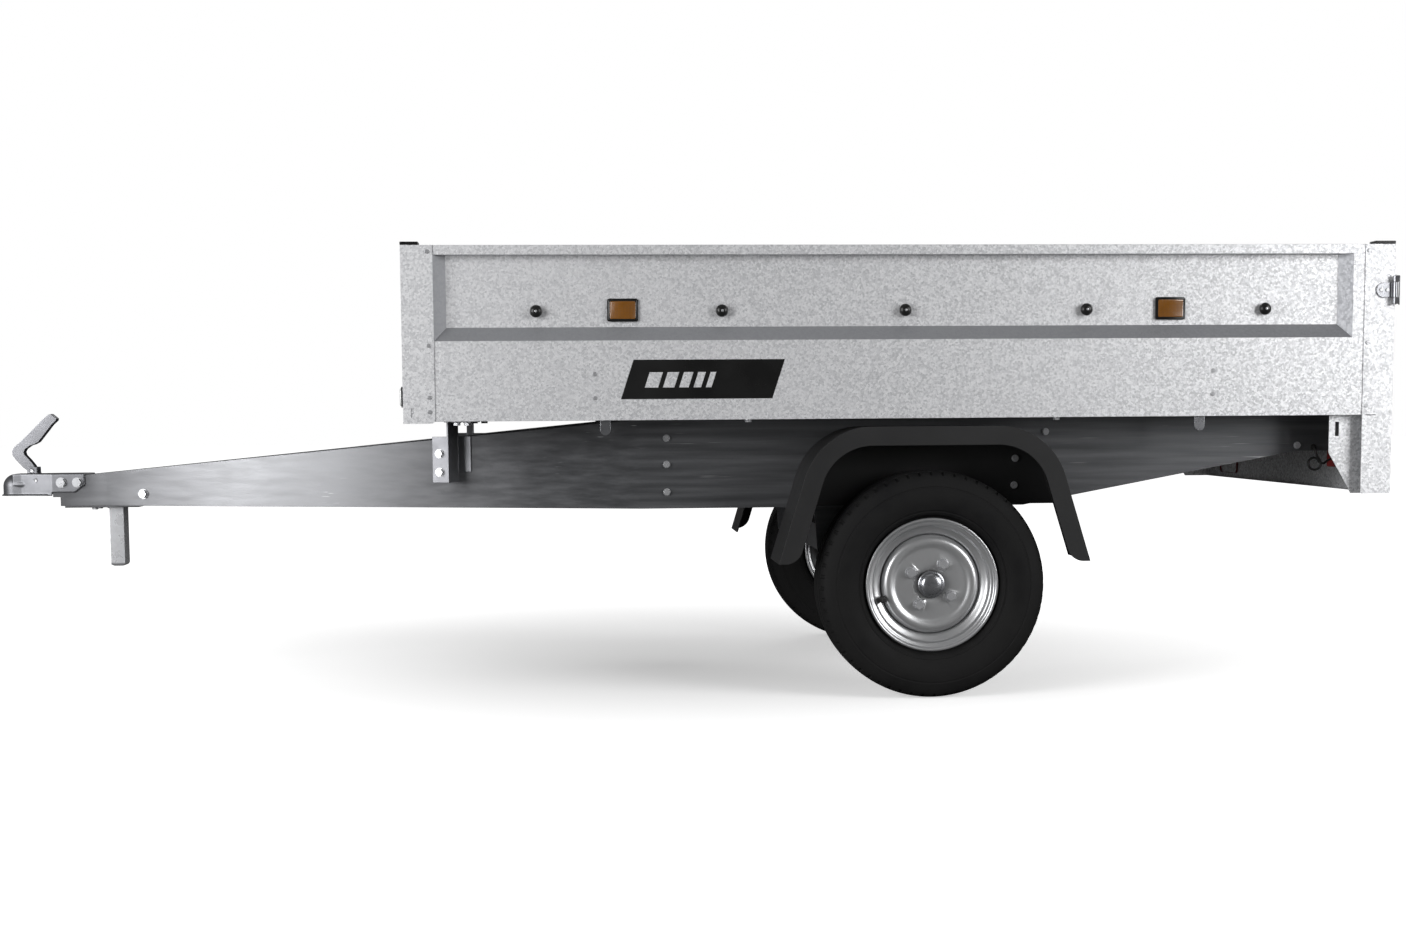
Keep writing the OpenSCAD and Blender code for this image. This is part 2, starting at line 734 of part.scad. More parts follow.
module wheel_bolts_shape() {
    seat = mount_y + disc_t;
    for (i = [0:3])
        outboard(wheel_x, 0, wheel_z)
            rotate(i * 90 - bolt_phase)
                translate([bolt_pcd / 2, 0, 0]) {
                    translate([0, 0, mount_y - 16]) cylinder(r = bolt_r, h = 16 + disc_t + 3);
                    translate([0, 0, seat + gap / 3]) cylinder(r = 10, h = 3);
                    translate([0, 0, seat + 2]) cylinder(r = 9.5, h = 10, $fn = 6);
                }
}
module wheel_bolts_left() { color("silver") left() wheel_bolts_shape(); }
module wheel_bolts_right() { color("silver") right() wheel_bolts_shape(); }

// --- Fenders ---------------------------------------------------------------

// Silhouette of the arch, shrunk by d on its round side.
module arch(d) {
    r = fender_r - d;
    turn = 90 - fender_lean;
    centre_z = fender_z - fender_r;
    tangent = [fender_flat + r * sin(turn), centre_z + r * cos(turn)];
    foot = [tangent[0] + (tangent[1] - fender_end_z) * tan(fender_lean), fender_end_z];
    half = [[fender_flat, centre_z + r], tangent, foot];
    translate([fender_x, 0]) {
        polygon(concat([for (p = half) p], [for (i = [2:-1:0]) [-half[i][0], half[i][1]]]));
        for (s = [-1, 1])
            translate([s * fender_flat, centre_z]) circle(r = r, $fn = 96);
    }
}
module band(d) {
    difference() {
        arch(0);
        arch(d);
        translate([0, fender_end_z - box_z]) square([box_l, box_z]);
    }
}
module fender_shape() {
    across(fender_in, fender_out) band(fender_t);
    across(fender_out - fender_t, fender_out) band(fender_lip);
    across(fender_in, fender_in + fender_t)
        difference() {
            arch(0);
            square([box_l, rail_z + fender_wall]);
        }
}
module fender_left() { color("#3a3a3a") left() fender_shape(); }
module fender_right() { color("#3a3a3a") right() fender_shape(); }

// --- Box ---------------------------------------------------------------------

// Solid space of the pressed pocket in a panel, from depth y on, grown by g on every side.
function lean_shift(run, depth, g) = g * norm([run, depth]) / depth;
module pocket(len, h, inset, g, y) {
    d = wall_depth - sheet_t;
    low = lower_band_h - lean_shift(slope_h, d, g);
    top = h - top_rail_h + g;
    z_out = low + slope_h * y / d;
    z_in = low + slope_h * (d + g) / d;
    x_low = inset - lean_shift(bevel, d, g);
    x_out = x_low + bevel * y / d;
    x_in = x_low + bevel * (d + g) / d;
    intersection() {
        along(-1, len + 1)
            polygon([[y, z_out], [d + g, z_in], [d + g, top], [y, top]]);
        linear_extrude(h)
            polygon([[x_out, y], [len - x_out, y], [len - x_in, d + g], [x_in, d + g]]);
    }
}
// Folded wall with its outer face on y = 0 and its depth along +y.
module pressed_panel(len, h, inset, cut) {
    difference() {
        union() {
            cube([len, sheet_t, h]);
            translate([cut, 0, 0]) cube([len - 2 * cut, wall_depth, sheet_t]);
            translate([cut, 0, h - sheet_t]) cube([len - 2 * cut, wall_depth, sheet_t]);
            translate([cut, wall_depth - sheet_t, h - top_rail_h])
                cube([len - 2 * cut, sheet_t, top_rail_h]);
            pocket(len, h, inset, sheet_t, 0);
        }
        pocket(len, h, inset, 0, -reach_through);
    }
}
module side_shape() {
    translate([panel_x, panel_y, box_z])
        mirror([0, 1, 0])
            pressed_panel(side_len, side_h, post_w - panel_x, sheet_t + gap);
}
module side_left() { color("gainsboro") left() side_shape(); }
module side_right() { color("gainsboro") right() side_shape(); }
module front_panel() {
    color("gainsboro") placed()
        translate([panel_x, front_len / 2, box_z])
            rotate([0, 0, -90])
                pressed_panel(front_len, side_h, post_w, wall_depth + 0.5);
}
module floor_panel() {
    half = panel_y - sheet_t - board_gap;
    front = panel_x + sheet_t + board_gap;
    color("#5b4632") placed()
        translate([front, -half, floor_z])
            cube([inner_end_x - front, 2 * half, floor_t]);
}
module corner_posts() {
    front_drop = 4;
    front_leg = 42;
    outer = box_w / 2;
    inner = outer - wall_depth;
    color("gainsboro") both() {
        difference() {
            translate([0, 0, box_z - front_drop])
                linear_extrude(side_h + front_drop)
                    bent_sheet([[0, outer - front_leg], [0, outer], [post_w, outer]], -post_t);
            across(outer - 5, outer + 5)
                translate([20, box_z + 18]) square([8, 20], center = true);
        }
        difference() {
            translate([0, 0, panel_z])
                linear_extrude(top_z - panel_z)
                    bent_sheet([[box_l - post_w, outer], [box_l, outer], [box_l, inner], [gate_front_x, inner]], -post_t);
            across(outer - 5, outer + 5)
                translate([box_l - post_w + 18, box_z]) square([24, 2], center = true);
        }
    }
}
module post_caps() {
    cap_h = 7;
    cap_w = 30;
    front_l = 38;
    rear_l = 46;
    color("black") both()
        for (c = [[-0.5, front_l], [box_l - rear_l, rear_l]])
            translate([c[0], box_w / 2 - cap_w, top_z])
                cube([c[1], cap_w, cap_h]);
}
module rivets() {
    head_r = 4.5;
    head_h = 1.8;
    band_y = panel_y;
    on_post = [[post_w - 11, 350], [post_w - 11, 157], [post_w - 11, 50], [post_w - 11, 20],
        [box_l - post_w + 8, 350], [box_l - post_w + 8, 155], [box_l - post_w + 8, 20]];
    on_band = [[398, 97], [398, 47], [box_l - 394, 97], [box_l - 394, 47]];
    on_bracket = [[box_l - 31, latch_z - box_z], [box_l - 18, latch_z - box_z]];
    color("silver") both() {
        for (p = on_post)
            outboard(p[0], box_w / 2, box_z + p[1]) cylinder(r = head_r, h = head_h);
        for (p = on_band)
            outboard(p[0], band_y, box_z + p[1]) cylinder(r = head_r, h = head_h);
        for (p = on_bracket)
            outboard(p[0], box_w / 2 + latch_t, box_z + p[1]) cylinder(r = head_r, h = head_h);
    }
}
module cover_knobs() {
    first = 277;
    pitch = (box_l - 2 * first) / 4;
    stem_r = 6;
    stem_h = 8;
    head_r = 12;
    height = 228;
    color("black") both()
        for (i = [0:4])
            outboard(first + i * pitch, pocket_y + sheet_t, box_z + height) {
                cylinder(r = stem_r, h = stem_h);
                translate([0, 0, stem_h - eps])
                    rotate_extrude()
                        intersection() {
                            translate([0, -2]) circle(r = head_r);
                            square([head_r, head_r]);
                        }
            }
}
module amber_reflectors() {
    size = [65, 48];
    depth = 8;
    color("#b06000") both()
        for (x = [458, box_l - 483])
            translate([x - size[0] / 2, pocket_y + sheet_t, box_z + 230 - size[1] / 2])
                cube([size[0], depth, size[1]]);
}
module front_markers() {
    color("white") both()
        translate([-7, box_w / 2 - 38, box_z + 30])
            cube([7, 34, 43]);
}
module tie_down_tabs() {
    tab_w = 22;
    drop = 31;
    tab_t = 3;
    y = panel_y - 14;
    color("gainsboro") both()
        for (x = [419, box_l - 418])
            across(y, y + tab_t) {
                translate([x - tab_w / 2, box_z - drop + tab_w / 2])
                    square([tab_w, drop - tab_w / 2]);
                translate([x, box_z - drop + tab_w / 2]) circle(r = tab_w / 2);
            }
}

// --- Tailgate and latches ------------------------------------------------------

module tailgate() {
    color("gainsboro") placed()
        translate([box_l, -gate_half, gate_z])
            rotate([0, 0, 90])
                pressed_panel(2 * gate_half, top_z - gate_z, post_w - 20, 0);
}
module gate_hinges() {
    color("silver") placed()
        for (y = gate_hinge_y)
            difference() {
                union() {
                    translate([box_l, y - hinge_len / 2, gate_pin_z + knuckle_r + 1])
                        cube([leaf_t, hinge_len, 32]);
                    translate([box_l, y - mid_knuckle / 2, gate_pin_z])
                        cube([leaf_t, mid_knuckle, knuckle_r + 2]);
                    outboard(gate_pin_x, y - mid_knuckle / 2, gate_pin_z)
                        cylinder(r = knuckle_r, h = mid_knuckle);
                }
                outboard(gate_pin_x, y - hinge_len, gate_pin_z)
                    cylinder(r = gate_pin_r + fit, h = 2 * hinge_len);
            }
}
module sill_hinges() {
    end = (hinge_len - mid_knuckle) / 2 - gap;
    color("silver") placed()
        for (y = gate_hinge_y)
            difference() {
                union() {
                    translate([box_l, y - hinge_len / 2, deck_z - 36])
                        cube([leaf_t, hinge_len, 34]);
                    for (s = [-1, 1])
                        translate([0, y + s * (hinge_len - end) / 2 - end / 2, 0]) {
                            translate([box_l + gap, 0, deck_z - 4])
                                cube([leaf_t - gap, end, gate_pin_z - deck_z + 4]);
                            outboard(gate_pin_x, 0, gate_pin_z) cylinder(r = knuckle_r, h = end);
                        }
                }
                outboard(gate_pin_x, y - hinge_len, gate_pin_z)
                    cylinder(r = gate_pin_r, h = 2 * hinge_len);
            }
}
module hinge_pins() {
    over = 3;
    color("dimgray") {
        placed()
            for (y = gate_hinge_y)
                outboard(gate_pin_x, y - hinge_len / 2 - over, gate_pin_z)
                    cylinder(r = gate_pin_r, h = hinge_len + 2 * over);
        both()
            translate([latch_x, latch_y, latch_z - latch_h / 2 - 2])
                cylinder(r = latch_pin_r, h = latch_h + 4);
    }
}
module latch_brackets() {
    strap = 38;
    end_r = latch_mid / 2;
    color("silver") both()
        difference() {
            union() {
                across(box_w / 2, box_w / 2 + latch_t) {
                    translate([latch_x - strap + end_r, latch_z]) circle(r = end_r);
                    translate([latch_x - strap + end_r, latch_z - end_r]) square([strap - end_r, latch_mid]);
                }
                translate([latch_x - 5, box_w / 2, latch_z - latch_mid / 2])
                    cube([5, latch_y - box_w / 2, latch_mid]);
                translate([latch_x, latch_y, latch_z - latch_mid / 2])
                    cylinder(r = latch_knuckle, h = latch_mid);
            }
            translate([latch_x, latch_y, latch_z - latch_h])
                cylinder(r = latch_pin_r, h = 2 * latch_h);
        }
}
module latch_lever_shape() {
    low = -latch_h / 2;
    ear = (latch_h - latch_mid) / 2 - gap;
    translate([latch_x, latch_y, latch_z])
        rotate([0, 0, latch_rest])
            difference() {
                union() {
                    translate([latch_off, -latch_reach, low])
                        cube([latch_t, latch_reach + latch_knuckle, latch_h]);
                    for (z = [low, latch_mid / 2 + gap]) {
                        translate([0, 0, z]) cylinder(r = latch_knuckle, h = ear);
                        translate([0, -latch_knuckle, z])
                            cube([latch_off + eps, 2 * latch_knuckle, ear]);
                    }
                }
                translate([0, 0, 2 * low])
                    cylinder(r = latch_pin_r + fit, h = 2 * latch_h);
            }
}
module latch_lever_left() { color("silver") left() latch_lever_shape(); }
module latch_lever_right() { color("silver") right() latch_lever_shape(); }

// --- Rear lamp panel -------------------------------------------------------------

module lamp_panel() {
    t = post_t;
    lip = 15;
    gusset_x = box_l - 128;
    color("gainsboro") placed()
        difference() {
            union() {
                translate([box_l - t, -gusset_y, panel_z]) cube([t, 2 * gusset_y, deck_z - panel_z]);
                translate([box_l - lip, -gusset_y, panel_z]) cube([lip, 2 * gusset_y, t]);
                translate([rail_end_x + 2, gap - pocket_y, deck_z - t])
                    cube([box_l - rail_end_x - 2, 2 * (pocket_y - gap), t]);
                for (s = [0, 1])
                    mirror([0, s, 0])
                        across(gusset_y - t, gusset_y)
                            difference() {
                                polygon([[gusset_x, box_z], [gusset_x, box_z - 81], [box_l - 77, panel_z],
                                    [box_l, panel_z], [box_l, box_z]]);
                                translate([box_l - 110, box_z - 30]) square([8, 30], center = true);
                            }
            }
            for (s = [-1, 1])
                translate([box_l - 20, s * lamp_y - socket_w / 2 - gap, socket_z - socket_h / 2 - gap])
                    cube([40, socket_w + 2 * gap, socket_h + 2 * gap]);
        }
}
module lamp_bodies() {
    color("#8c1010") both()
        translate([box_l - lamp_d, lamp_y - socket_w / 2, socket_z - socket_h / 2])
            cube([lamp_d, socket_w, socket_h]);
}
module lamp_lenses() {
    rim = 7;
    color("red") both()
        translate([box_l, lamp_y - lamp_w / 2 - rim, lamp_z - lamp_h / 2 - rim])
            cube([lens_t, lamp_w + 2 * rim, lamp_h + 2 * rim]);
}
module plate_holder() {
    t = 3;
    color("#202020") placed() {
        translate([box_l, -plate_w / 2, panel_z + 14]) cube([t, plate_w, plate_h]);
        translate([box_l + t - eps, -45, panel_z + 14 + plate_h - 18]) cube([14, 90, 18]);
    }
}

// --- Lamp leads --------------------------------------------------------------------

// A lead leaves the rail's grommet, makes one turn and goes into the lamp body.
lead_r = lead_d / 2;
loop_r = 13.5;
loop_x = gland_x - 1;
loop_z = gland_z - 37;
loop_y = rail_y + 14;
lead_sides = 8;
gland = [gland_x, rail_y, gland_z];
lead_start = moved([[0, 4, 0], [0, 10, -0.5], [-0.5, 16, -5], [-0.5, 19, -12], [1.5, 18.5, -18.5], [5, 17.5, -23.5]],
    gland);
lead_finish = concat(moved([[13, 6.5, -33], [18.5, 4.5, -36.5], [25.5, 2.5, -36], [32, 1, -32], [39, 0, -28],
    [48, -1, -26.5]], gland), [[box_l - lamp_d, rail_y - 2, gland_z - 27]]);
loop_turns = 14;
loop_points = [for (i = [0:loop_turns])
    let (a = 40 - i * 360 / loop_turns)
    [loop_x + loop_r * cos(a), loop_y + 3 - i * 8 / loop_turns, loop_z + loop_r * sin(a)]];
lead_points = concat(lead_start, loop_points, lead_finish);
module swept_tube(p, r, sides) {
    n = len(p);
    dirs = [for (i = [0:n - 1]) unit(p[min(i + 1, n - 1)] - p[max(i - 1, 0)])];
    // A reference direction that the route never runs along.
    up = unit([0.35, 1, 0.25]);
    rings = [for (i = [0:n - 1])
        let (u = unit(up - dirs[i] * (up * dirs[i])), v = cross(dirs[i], u))
        for (k = [0:sides - 1])
            p[i] + r * (u * cos(360 * k / sides) + v * sin(360 * k / sides))];
    sides_faces = [for (i = [0:n - 2], k = [0:sides - 1])
        let (a = i * sides + k, b = i * sides + (k + 1) % sides)
        [a, b, b + sides, a + sides]];
    polyhedron(rings, concat(sides_faces, [[for (k = [sides - 1:-1:0]) k]],
        [[for (k = [0:sides - 1]) (n - 1) * sides + k]]), convexity = 6);
}
module lamp_leads() { color("black") both() swept_tube(lead_points, lead_r, lead_sides); }
module grommets() {
    color("black") both()
        outboard(gland_x, rail_y, gland_z) {
            cylinder(r = gland_r + 2, h = 4);
            translate([0, 0, -rail_t - 3]) cylinder(r = gland_r - 0.1, h = rail_t + 3 + eps);
        }
}

// --- Bolts of the frame ---------------------------------------------------------------

module web_bolt(x, z, r) {
    translate([nose_end_x, nose_y, 0])
        rotate([0, 0, oblique_a])
            outboard(oblique_at(x), 0, z) bolt_head(r);
}
module frame_bolts() {
    m10_r = 5;
    m8_r = 4;
    outer_face = nose_y + coupling_t;
    color("silver") {
        placed()
            for (x = coupling_bolt_x) {
                outboard(x, -outer_face - eps, coupling_bolt_z)
                    cylinder(r = m12_r, h = 2 * (outer_face + eps));
                for (s = [0, 1])
                    mirror([0, s, 0])
                        outboard(x, outer_face, coupling_bolt_z) bolt_head();
            }
        both() {
            web_bolt(198 - rail_start, rail_z + 28, m12_r);
            for (z = [36, 96, 153])
                outboard(bend_x + 56, rail_y, rail_z + z) bolt_head(m8_r);
            outboard(fender_x + 277, rail_y, rail_z + 161) bolt_head(m8_r);
            for (p = [[209, 103], [207, 44]])
                outboard(fender_x + p[0], fender_in + fender_t, rail_z + p[1]) bolt_head(m8_r);
            for (x = [-fender_flat, 0, fender_flat])
                outboard(fender_x + x, fender_in + fender_t, fender_z - fender_bolt_drop) bolt_head(m8_r);
            outboard(rise_end_x, rail_y, rail_z + rise_h + 12) bolt_head(m8_r);
            for (x = [axle_x - 60, axle_x + 60])
                translate([x, rail_y - 16, rail_z + rail_t]) bolt_head(m10_r);
            translate([nose_end_x, nose_y, 0])
                rotate([0, 0, oblique_a])
                    translate([oblique_at(riser_x), riser_off, 0]) {
                        for (z = [riser_high - 37, riser_low + 23])
                            outboard(-17, 0, z) bolt_head(m10_r);
                        for (x = [16, 42])
                            translate([x, -22, tab_z]) mirror([0, 0, 1]) bolt_head(m10_r);
                    }
            for (x = [720, 1380])
                translate([x, panel_y - 12, box_z]) mirror([0, 0, 1]) bolt_head(m8_r);
            for (x = [45, 55])
                translate([x, panel_y - 10, box_z]) mirror([0, 0, 1]) bolt_head(2.2);
            translate([73 - rail_start, 22, rail_z - 4]) mirror([0, 0, 1]) bolt_head(m8_r);
        }
    }
}

rail_left();
rail_right();
cross_members();
nose_plate();
riser_brackets();
frame_bolts();
parking_leg();
coupling_housing();
coupling_handle();
coupling_pins();
ball_clamp();
clamp_spring();
axle_tube();
rubber_cords();
arm_left();
arm_right();
stub_axle_left();
stub_axle_right();
hub_left();
hub_right();
bearings_left();
bearings_right();
dust_cap_left();
dust_cap_right();
rim_left();
rim_right();
tyre_left();
tyre_right();
valve_left();
valve_right();
wheel_bolts_left();
wheel_bolts_right();
fender_left();
fender_right();
floor_panel();
side_left();
side_right();
front_panel();
corner_posts();
post_caps();
rivets();
cover_knobs();
amber_reflectors();
front_markers();
tie_down_tabs();
tailgate();
gate_hinges();
sill_hinges();
hinge_pins();
latch_brackets();
latch_lever_left();
latch_lever_right();
lamp_panel();
lamp_bodies();
lamp_lenses();
plate_holder();
lamp_leads();
grommets();
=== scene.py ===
# %% [markdown]
# # A box trailer, finished over its engineering model
# A small unbraked box trailer stands on its wheels and its parking leg. The
# engineering model gives every steel part its place and size. This lesson gives
# those parts their finishes, and models anew what the engineering model only
# blocks out: tyres, wheels, fenders, the coupling, lamps, reflectors and cords.

import json
import math

import bpy
from mathutils import Matrix, Vector

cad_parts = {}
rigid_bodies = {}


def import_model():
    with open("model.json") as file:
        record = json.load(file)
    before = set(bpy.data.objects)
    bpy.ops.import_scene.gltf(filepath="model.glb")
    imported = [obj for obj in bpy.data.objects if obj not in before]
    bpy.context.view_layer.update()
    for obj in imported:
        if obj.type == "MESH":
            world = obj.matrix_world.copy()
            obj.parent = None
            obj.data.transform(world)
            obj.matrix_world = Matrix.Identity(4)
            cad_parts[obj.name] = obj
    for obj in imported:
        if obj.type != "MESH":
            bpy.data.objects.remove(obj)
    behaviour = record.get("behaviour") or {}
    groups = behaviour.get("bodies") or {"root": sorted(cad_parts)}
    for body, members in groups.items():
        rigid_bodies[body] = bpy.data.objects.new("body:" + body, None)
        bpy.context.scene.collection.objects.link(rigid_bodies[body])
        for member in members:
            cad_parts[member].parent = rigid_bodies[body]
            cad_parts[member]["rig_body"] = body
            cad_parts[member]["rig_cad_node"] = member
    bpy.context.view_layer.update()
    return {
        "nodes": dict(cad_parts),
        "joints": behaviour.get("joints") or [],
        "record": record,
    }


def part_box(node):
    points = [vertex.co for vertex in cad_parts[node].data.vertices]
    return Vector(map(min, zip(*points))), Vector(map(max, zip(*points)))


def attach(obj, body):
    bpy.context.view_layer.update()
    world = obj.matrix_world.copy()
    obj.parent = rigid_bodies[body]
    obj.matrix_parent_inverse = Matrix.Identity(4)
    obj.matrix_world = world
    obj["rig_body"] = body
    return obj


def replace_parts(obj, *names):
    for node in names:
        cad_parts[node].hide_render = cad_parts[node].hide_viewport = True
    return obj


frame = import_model()
MM = 0.001
nodes = frame["nodes"]
bodies = frame["record"]["behaviour"]["bodies"]
body_of_node = {node: body for body, members in bodies.items() for node in members}
slot_of_node = {part["node"]: part["material_slot"] for part in frame["record"]["subparts"]}


print("slots:", sorted(set(slot_of_node.values())))

# %% [markdown]
# ## The camera
# It stands low on the left-hand side, 3.8 m from the box's wall, and looks a
# little down and a little towards the tail. The lens is slightly long. A small
# lens shift moves the picture up in the frame, so the camera need not tilt more.

# %% Camera
CAMERA_PLACE = (-0.2057, -4.4035, 0.6175)
YAW, PITCH, ROLL = 0.0672, 0.0856, -0.0071
camera_data = bpy.data.cameras.new("camera")
camera_data.sensor_width = 36
camera_data.lens = 46.74
camera_data.shift_y = 0.0698
camera = bpy.data.objects.new("camera", camera_data)
bpy.context.collection.objects.link(camera)
turn = (
    Matrix.Rotation(-YAW, 4, "Z")
    @ Matrix.Rotation(math.pi / 2 - PITCH, 4, "X")
    @ Matrix.Rotation(ROLL, 4, "Z")
)
camera.matrix_world = Matrix.Translation(CAMERA_PLACE) @ turn
bpy.context.scene.camera = camera
print("camera lens:", camera_data.lens)

# %% [markdown]
# ## The studio
# A pale floor in a bright room, as for a catalogue. Zinc shows what it reflects,
# so the light comes from two large soft panels low on the left and right of the
# camera, and the room behind the camera is much darker. The rough sheet of the box
# then looks light, and the smoother rails look dark wherever they face the camera
# squarely; under the box their dark tone is also painted shade in their colour.
# The floor glows a little more the farther away it is, so that it runs into the
# white background without a horizon.

# %% Floor
FLOOR_SIDE = 60
bpy.context.scene.view_settings.view_transform = "Standard"
bpy.ops.object.select_all(action="DESELECT")
bpy.ops.mesh.primitive_plane_add(size=FLOOR_SIDE, location=(0, 0, 0))
floor = bpy.context.object
floor.name = "studio_floor"
print("floor side:", FLOOR_SIDE)

# %% [markdown]
# The room has two brightnesses. The camera sees it pure white, but it lights the
# trailer only faintly, which a Light Path node decides for each ray.

# %% Room
WHITE = (1, 1, 1, 1)
ROOM_LIGHT = 0.14
world = bpy.data.worlds.new("studio")
bpy.context.scene.world = world
world.use_nodes = True
room = world.node_tree
seen = room.nodes.new("ShaderNodeBackground")
seen.inputs["Color"].default_value = WHITE
lit = room.nodes["Background"]
lit.inputs["Color"].default_value = WHITE
lit.inputs["Strength"].default_value = ROOM_LIGHT
ray = room.nodes.new("ShaderNodeLightPath")
choice = room.nodes.new("ShaderNodeMixShader")
room.links.new(ray.outputs["Is Camera Ray"], choice.inputs["Fac"])
room.links.new(lit.outputs["Background"], choice.inputs[1])
room.links.new(seen.outputs["Background"], choice.inputs[2])
room.links.new(choice.outputs["Shader"], room.nodes["World Output"].inputs["Surface"])
print("room light:", ROOM_LIGHT)

# %% [markdown]
# Four square panels light the trailer. All face one point in its middle.

# %% Light panels
LIT_POINT = Vector((0, 0, 0.7))
PANELS = (("left_panel", (-3.7, -3.3, 1.45), 2.6, 215), ("right_panel", (4.1, -3.4, 1.7), 2.4, 150),
          ("top_panel", (0.0, -0.6, 4.5), 3.5, 18), ("far_panel", (0.5, 4.5, 3.0), 3.0, 40))

def soft_panel(name, place, size, power):
    """A square light that faces the lit point and isn't seen itself."""
    data = bpy.data.lights.new(name, "AREA")
    data.shape = "SQUARE"
    data.size = size
    data.energy = power
    lamp = bpy.data.objects.new(name, data)
    lamp.visible_camera = False
    bpy.context.collection.objects.link(lamp)
    aim = LIT_POINT - Vector(place)
    lamp.matrix_world = Matrix.Translation(place) @ aim.to_track_quat("-Z", "Y").to_matrix().to_4x4()


for panel in PANELS:
    soft_panel(*panel)
print("lights:", len(PANELS))

# %% [markdown]
# ## Working habits
# Each new piece starts with nothing selected, is modelled in the steps that one
# would take by hand, and ends as an object at the origin with its place in its
# mesh, riding on the body that carries it. Helpers keep those habits in one place.
# The first ones open an object, close it again and shade it.

# %% Opening, closing and shading
MERGE = 0.02 * MM


def nothing():
    """Deselects everything, because an operator acts on all that is selected."""
    bpy.ops.object.select_all(action="DESELECT")


def only(obj):
    """Selects this one object."""
    if bpy.context.mode != "OBJECT":
        bpy.ops.object.mode_set(mode="OBJECT")
    nothing()
    obj.select_set(True)
    bpy.context.view_layer.objects.active = obj
    return obj


def edit(obj):
    """Opens one object in edit mode with everything in it selected."""
    only(obj)
    bpy.ops.object.mode_set(mode="EDIT")
    bpy.ops.mesh.select_mode(type="VERT")
    bpy.ops.mesh.select_all(action="SELECT")


def settle_place():
    """Moves the selected object's place, turn and scale into its mesh."""
    bpy.ops.object.transform_apply(location=True, rotation=True, scale=True)


def close(obj):
    """Merges doubles, turns the faces outwards and leaves edit mode."""
    bpy.ops.mesh.select_all(action="SELECT")
    bpy.ops.mesh.remove_doubles(threshold=MERGE)
    bpy.ops.mesh.normals_make_consistent(inside=False)
    bpy.ops.object.mode_set(mode="OBJECT")
    settle_place()
    return obj


def smooth(obj, angle):
    """Shades an object smooth across edges flatter than the angle in degrees."""
    only(obj)
    bpy.ops.object.shade_smooth_by_angle(angle=math.radians(angle))
    return obj


print("opening, closing and shading ready")

# %% [markdown]
# The next helpers draw shapes: a line is one corner extruded from point to point,
# and it becomes a solid when it is spun about an axle, or filled and pulled.

# %% Drawing lines and solids


def traced(name, points):
    """A line drawn by extruding one corner from point to point."""
    nothing()
    bpy.ops.mesh.primitive_plane_add(size=MM, location=points[0])
    obj = bpy.context.object
    obj.name = name
    edit(obj)
    bpy.ops.mesh.merge(type="CENTER")
    for start, end in zip(points, points[1:]):
        bpy.ops.mesh.extrude_region_move(TRANSFORM_OT_translate={"value": Vector(end) - Vector(start)})
    return obj


def pulled(name, points, pull):
    """A closed outline, filled and pulled into a solid along one vector."""
    obj = traced(name, points)
    bpy.ops.mesh.select_all(action="SELECT")
    bpy.ops.mesh.edge_face_add()
    bpy.ops.mesh.extrude_region_move(TRANSFORM_OT_translate={"value": pull})
    return close(obj)


def turned(name, centre, profile, steps=96):
    """A profile in mm, radius and offset along Y, spun about the Y axis through centre."""
    centre = Vector(centre)
    obj = traced(name, [centre + Vector((r * MM, y * MM, 0)) for r, y in profile])
    bpy.ops.mesh.select_all(action="SELECT")
    bpy.ops.mesh.spin(steps=steps, angle=2 * math.pi, center=centre, axis=(0, 1, 0))
    return close(obj)


def box_at(low, high):
    """A cube primitive between two corners."""
    low, high = Vector(low), Vector(high)
    nothing()
    bpy.ops.mesh.primitive_cube_add(size=1, location=(low + high) / 2)
    obj = bpy.context.object
    obj.scale = high - low
    settle_place()
    return obj


print("drawing ready")

# %% [markdown]
# The last ones finish a piece: a modifier is applied at once, hard edges are
# rounded, pieces are joined or mirrored, and the result stands for its node.

# %% Finishing and placing


def apply(obj, kind, **values):
    """Adds a modifier with these values and applies it."""
    only(obj)
    mod = obj.modifiers.new(kind.lower(), kind)
    for key, value in values.items():
        setattr(mod, key, value)
    bpy.ops.object.modifier_apply(modifier=mod.name)
    return obj


def rounded(obj, width, segments=2, angle=35):
    """Rounds the edges sharper than the angle."""
    apply(obj, "BEVEL", width=width, segments=segments, limit_method="ANGLE",
          angle_limit=math.radians(angle), use_clamp_overlap=True)
    smooth(obj, 40)
    apply(obj, "WEIGHTED_NORMAL", keep_sharp=True, weight=100)
    return obj


def joined(name, pieces):
    """Joins pieces into the first of them."""
    only(pieces[0])
    for piece in pieces[1:]:
        piece.select_set(True)
    if len(pieces) > 1:
        bpy.ops.object.join()
    pieces[0].name = name
    return pieces[0]


def mirrored(obj, name):
    """A copy on the other side of the trailer's middle plane."""
    twin = obj.copy()
    twin.data = obj.data.copy()
    twin.name = name
    bpy.context.collection.objects.link(twin)
    only(twin)
    bpy.ops.transform.mirror(constraint_axis=(False, True, False), center_override=(0, 0, 0))
    settle_place()
    edit(twin)
    bpy.ops.mesh.normals_make_consistent(inside=False)
    bpy.ops.object.mode_set(mode="OBJECT")
    return twin


def settle(obj, node, finish):
    """Gives a piece its finish and lets it stand for a node on that node's body."""
    obj.data.materials.clear()
    obj.data.materials.append(finish)
    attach(obj, body_of_node[node])
    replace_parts(obj, node)
    return obj


print("helpers ready")

# %% [markdown]
# ## The lamp leads
# Each tail lamp is fed by a thin black lead. It leaves the rail through a rubber
# grommet, makes one slack turn that takes up the spare length, and goes into the
# back of the lamp. It is a curve with a round bevel, which keeps one diameter and
# follows one smooth line. The bevel is 1 m deep and each point scales it down to
# the lead's own radius, because a curve's box grows by the radius of its points.

